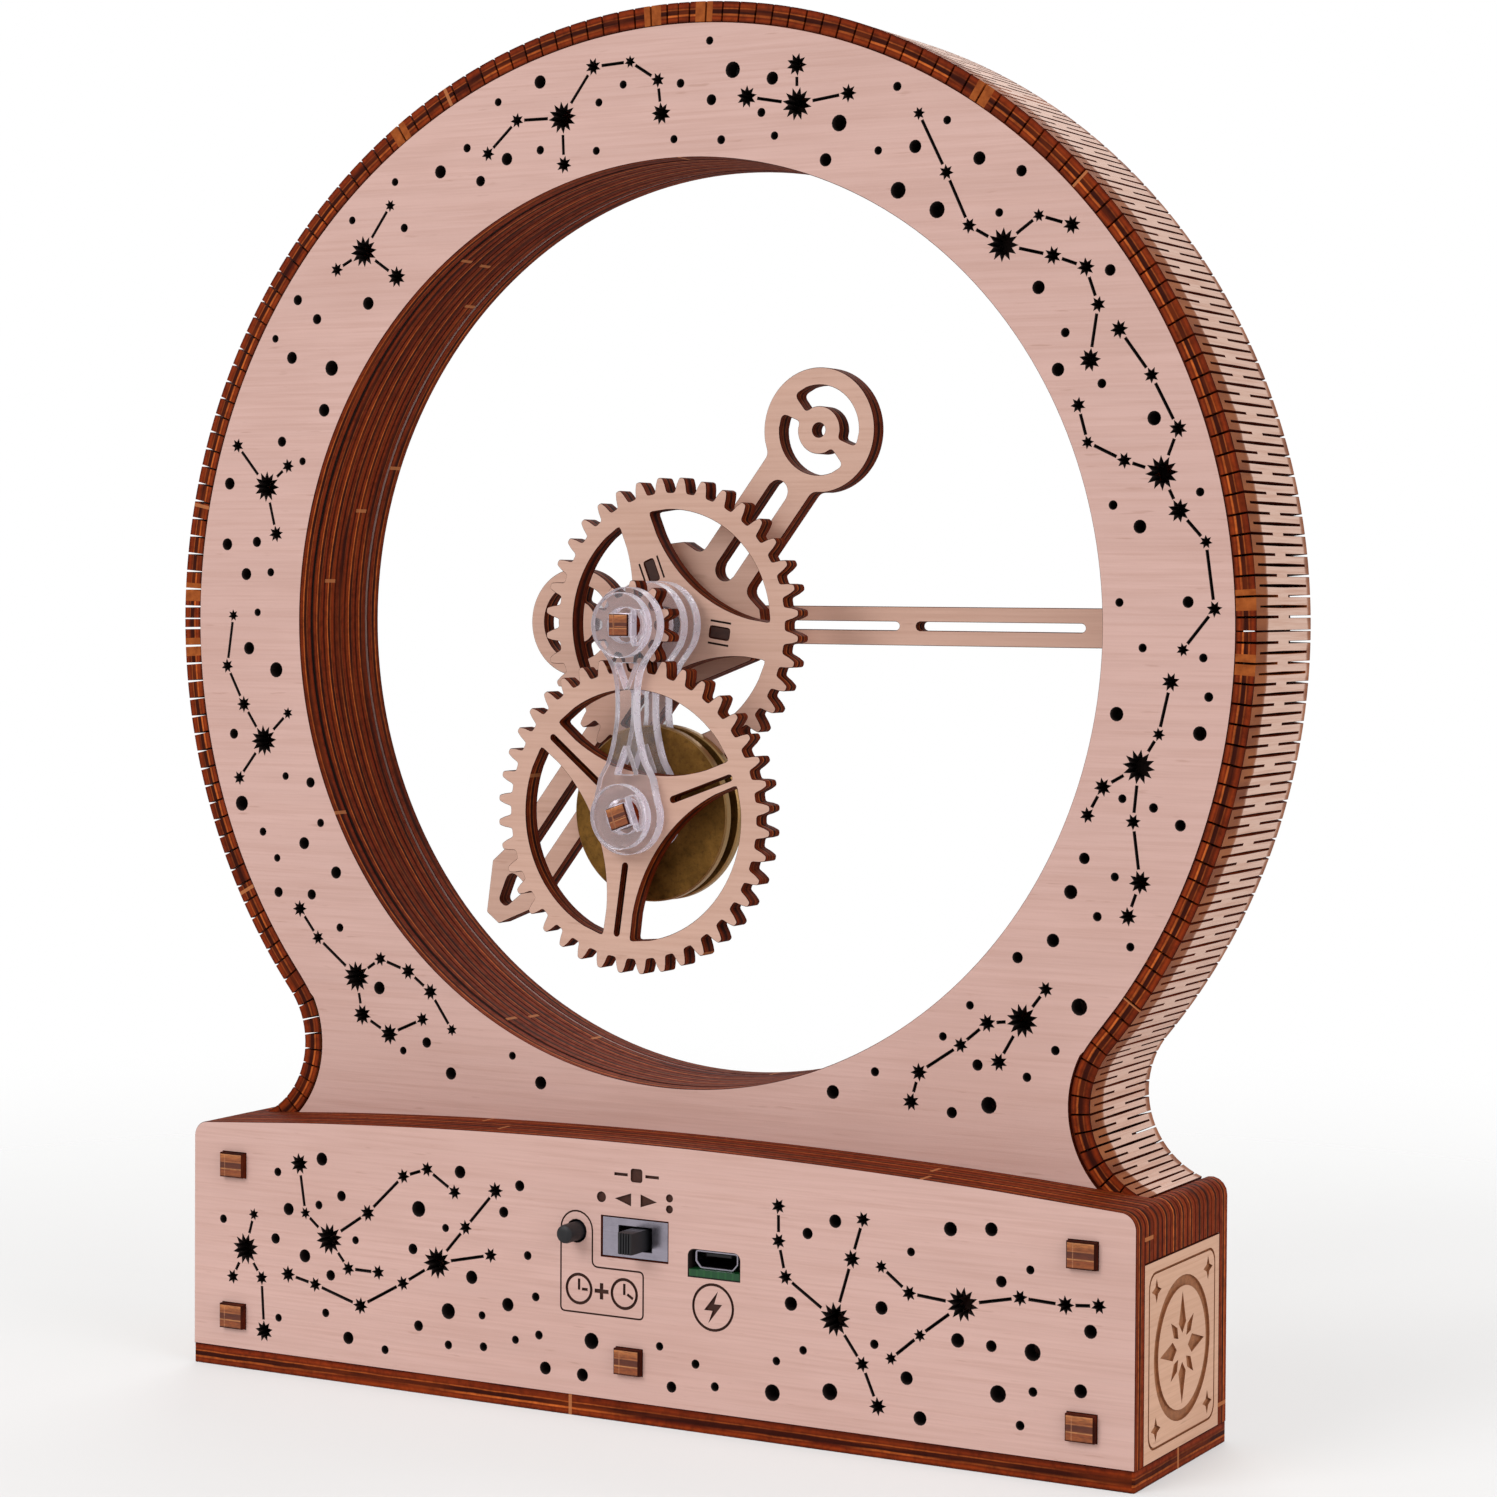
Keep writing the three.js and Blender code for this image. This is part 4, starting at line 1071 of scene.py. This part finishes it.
def rotor():
    for layer in ("rear_ring", "gear_ring", "mid_ring", "hand_ring", "front_ring"):
        cad_board("rotor_" + layer, HIDDEN, "inner_board", play=0.04)


# ---- Hands and train -----------------------------------------------------------------------
def scored(spoke):
    """Two thin score lines beside a tab hole of the hour gear."""
    a = math.radians(spoke)
    lines = []
    for side in (-1, 1):
        start, end = (6.8, side * 1.65), (10.3, side * 1.65)
        lines.append(([moved(bar(start, end, 0.3), 0, RING_Z, a)], 0.5))
    return lines


def train():
    scores = [line for spoke in (112, 232, 352) for line in scored(spoke)]
    for node, ease, hollow in (
        ("hour_gear", 0.4, 0), ("idler_gear", 0.4, 0), ("central_pinion", 0.4, 0),
        ("idler_pinion", 0.4, 0), ("minute_hand", 0.12, 0.5), ("hour_hand", 0.35, 1.6),
        ("hour_tab_1", 0, 0), ("hour_tab_2", 0, 0), ("hour_tab_3", 0, 0),
    ):
        pockets = scores if node == "hour_gear" else ()
        materials = (CHARRED, THIN_EDGE, CHARRED) if "tab" in node else TRAIN_WOOD
        cad_board(node, materials, "birch_face", loops_of(node, ease, hollow), pockets=pockets)


def axles():
    """Square axles with thin light joints crossing their sawn ends."""
    for node, degrees in (("arbor", 0), ("idler_axle", 20)):
        low, high = span(node)
        x, z = (low + high)[[0, 2]] / 2
        turn = math.radians(degrees)
        across = bar((-0.7, -1.45), (-0.7, 1.45), 0.16)
        joints = [across, bar((-0.55, -0.2), (1.45, -0.2), 0.14)]
        pockets = [([moved(joint, x, z, turn)], 0.12) for joint in joints]
        build = board(loops_of(node), low[1], high[1], pockets=pockets, chamfer=0.1)
        counts = np.repeat(build.kinds, [len(f) for f in build.faces])
        uvs = []
        for (u, v), kind in zip(build.uvs, counts):
            if kind == FACE:
                u, v = moved([(u / MM - x, v / MM - z)], 0, 0, -turn)[0] / (2 * 1.58) + 0.5
            uvs.append((u, v))
        build.uvs = uvs
        piece(node, build, (PEG_END, EDGE_WOOD, JOINT), "inner_board", node)


def hanger():
    """Clear links and retainers, and the brass weights between the links."""
    vee = np.array([(-1.65, RING_Z - 5.5), (1.65, RING_Z - 5.5), (0, RING_Z - 9.5)])
    peak = np.array([(-1.7, IDLER_Z + 6.0), (1.7, IDLER_Z + 6.0), (0, IDLER_Z + 10.4)])
    for node in ("rear_link", "mid_link", "front_link"):
        loops = loops_of(node, 0.15)
        lift = 0 if node == "rear_link" else -0.9
        loops += [rounded(vee + (0, lift), 0.25), rounded(peak, 0.25)]
        cad_board(node, CLEAR, "clear_acrylic", loops)
    for node in ("upper_retainer", "lower_retainer"):
        cad_board(node, CLEAR, "clear_acrylic", loops_of(node, 0.1), chamfer=0.14)
    for node in ("rear_weight", "front_weight"):
        cad_board(node, BRASS, "antique_brass", chamfer=0.22)


# ---- Controls ------------------------------------------------------------------------------
def turned_cap(x, z, profile, steps=32):
    """Round piece about an axis along Y, from its profile of radius and depth."""
    build = Build()
    turns = np.arange(steps) * 2 * math.pi / steps
    starts = [
        build.add([(x + r * math.cos(a), y, z + r * math.sin(a)) for a in turns]) for r, y in profile
    ]
    for upper, lower in zip(starts, starts[1:]):
        build.wall(upper, lower, circle(0, 0, 1, steps), FACE, (0, 1))
    for start, (r, _) in ((starts[0], profile[0]), (starts[-1], profile[-1])):
        build.face([start + i for i in range(steps)], FACE, [(0.0, 0.0)] * steps)
    return build


def controls():
    cad_board("mode_switch_frame", (STEEL,) * 3, "plated_steel")

    low, high = span("mode_switch_knob")
    rear, front = low[1], high[1]
    profile = [(low[0], front), (high[0], front), (high[0], rear + 0.4)]
    ridges = 5
    width = (high[0] - low[0] - 0.4) / ridges
    for k in range(ridges):
        right = high[0] - 0.2 - k * width
        profile += [(right, rear), (right - 0.58 * width, rear), (right - 0.68 * width, rear + 0.3)]
        profile += [(right - 0.9 * width, rear + 0.3)]
    profile[-1] = (low[0] + 0.1, rear + 0.3)
    profile.append((low[0], rear + 0.4))
    build = board([np.array(profile)], low[2], high[2], lying, chamfer=0.03)
    piece("mode_switch_knob", build, (BLACK,) * 3, "black_plastic", "mode_switch_knob")

    low, high = span("minute_button_cap")
    x, z = (low + high)[[0, 2]] / 2
    r = (high - low)[0] / 2
    rear, front = low[1], high[1]
    profile = [(0.4 * r, rear), (0.75 * r, rear + 0.08), (0.93 * r, rear + 0.3)]
    profile += [(r, rear + 0.75), (r, front)]
    build = turned_cap(x, z, profile)
    piece("minute_button_cap", build, (BLACK,) * 3, "black_plastic", "minute_button_cap")

    low, high = span("usb_socket")
    x0, x1, z0, z1 = low[0], high[0], low[2], high[2]
    outline = [(x0 + 0.9, z0), (x1 - 0.9, z0), (x1, z0 + 1.0), (x1, z1), (x0, z1), (x0, z0 + 1.0)]
    outline = rounded(np.array(outline), 0.45)
    wall = offset(outline, 0.3)
    build = board([outline, wall], low[1], high[1], chamfer=0.06)
    piece("usb_socket", build, (STEEL,) * 3, "plated_steel", "usb_socket")
    mid = (x0 + x1) / 2
    build = board([box_loop(mid - 2.1, z1 - 0.95, mid + 2.1, z1 - 0.42)], low[1] + 0.6, high[1])
    tongue = finish_mesh("usb_tongue", build, (BLACK,) * 3)
    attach(tongue, "case")


def carried_over():
    """CAD pieces inside the case that keep their shape and take a finish; the pinion and rollers take
    painted shade.
    """
    finishes_and_shade = {
        "control_board": GREEN, "motor_body": STEEL, "motor_bracket": STEEL, "motor_cable": SHEATH,
        "roller_pin_left": STEEL, "roller_pin_right": STEEL, "minute_button_body": BLACK,
        "drive_pinion": INSIDE_SHADE, "guide_roller_left": INSIDE_SHADE, "guide_roller_right": INSIDE_SHADE,
    }
    for node, material in finishes_and_shade.items():
        thing = frame["nodes"][node]
        thing.data.materials.clear()
        thing.data.materials.append(material)


base()
panels()
bands()
rotor()
train()
axles()
hanger()
controls()
carried_over()


# ---- Stage ---------------------------------------------------------------------------------
def floor():
    mesh = bpy.data.meshes.new("floor")
    half = 6.0
    corners = [(-half, -half, 0), (half, -half, 0), (half, half, 0), (-half, half, 0)]
    mesh.from_pydata(corners, [], [(0, 1, 2, 3)])
    thing = bpy.data.objects.new("floor", mesh)
    bpy.context.scene.collection.objects.link(thing)
    s = Shader("pale_floor")
    mottled = s.noise(s.stretched(s.where(), (9, 9, 9)), 3)
    s.set(Base_Color=s.mix(mottled, (0.90, 0.90, 0.90), (0.94, 0.94, 0.94)), Roughness=0.7)
    far = s.node("VectorMath", {0: s.where()}, operation="LENGTH").outputs["Value"]
    s.set(Alpha=s.ramp(far, (0.10, 0.6), (0.42, 0.0), smooth=True))
    mesh.materials.append(s.material)


def light(name, place, power, size, tint=(1, 1, 1)):
    lamp = bpy.data.lights.new(name, "AREA")
    lamp.energy, lamp.size, lamp.color = power, size, tint
    thing = bpy.data.objects.new(name, lamp)
    thing.location = place
    thing.rotation_euler = (Vector((0, 0, 0.1)) - Vector(place)).to_track_quat("-Z", "Y").to_euler()
    bpy.context.scene.collection.objects.link(thing)


def studio():
    world = bpy.data.worlds.new("studio")
    bpy.context.scene.world = world
    world.use_nodes = True
    tree = world.node_tree
    ambient = tree.nodes["Background"]
    ambient.inputs["Color"].default_value = (1, 0.985, 0.97, 1)
    ambient.inputs["Strength"].default_value = 0.5
    seen = tree.nodes.new("ShaderNodeBackground")
    seen.inputs["Color"].default_value = (1, 1, 1, 1)
    path = tree.nodes.new("ShaderNodeLightPath")
    blend = tree.nodes.new("ShaderNodeMixShader")
    tree.links.new(path.outputs["Is Camera Ray"], blend.inputs[0])
    tree.links.new(ambient.outputs[0], blend.inputs[1])
    tree.links.new(seen.outputs[0], blend.inputs[2])
    tree.links.new(blend.outputs[0], tree.nodes["World Output"].inputs["Surface"])
    light("key", (-0.5, -1.1, 0.9), 9, 0.8)
    light("side", (1.2, -0.3, 0.6), 5, 0.8)
    light("back", (-0.4, 1.1, 0.9), 5, 0.9)
    bpy.context.scene.view_settings.view_transform = "Standard"


def camera():
    lens = bpy.data.cameras.new("camera")
    lens.lens, lens.sensor_width = 82.43, 36
    lens.shift_x, lens.shift_y = -0.0586, -0.0544
    thing = bpy.data.objects.new("camera", lens)
    thing.location = (0.2612, -0.4412, 0.1222)
    yaw, pitch, roll = (math.radians(a) for a in (28.19, -1.34, 0.35))
    aim = Matrix.Rotation(yaw, 3, "Z") @ Matrix.Rotation(math.pi / 2 + pitch, 3, "X")
    thing.rotation_euler = (aim @ Matrix.Rotation(roll, 3, "Z")).to_euler()
    bpy.context.scene.collection.objects.link(thing)
    bpy.context.scene.camera = thing


floor()
studio()
camera()
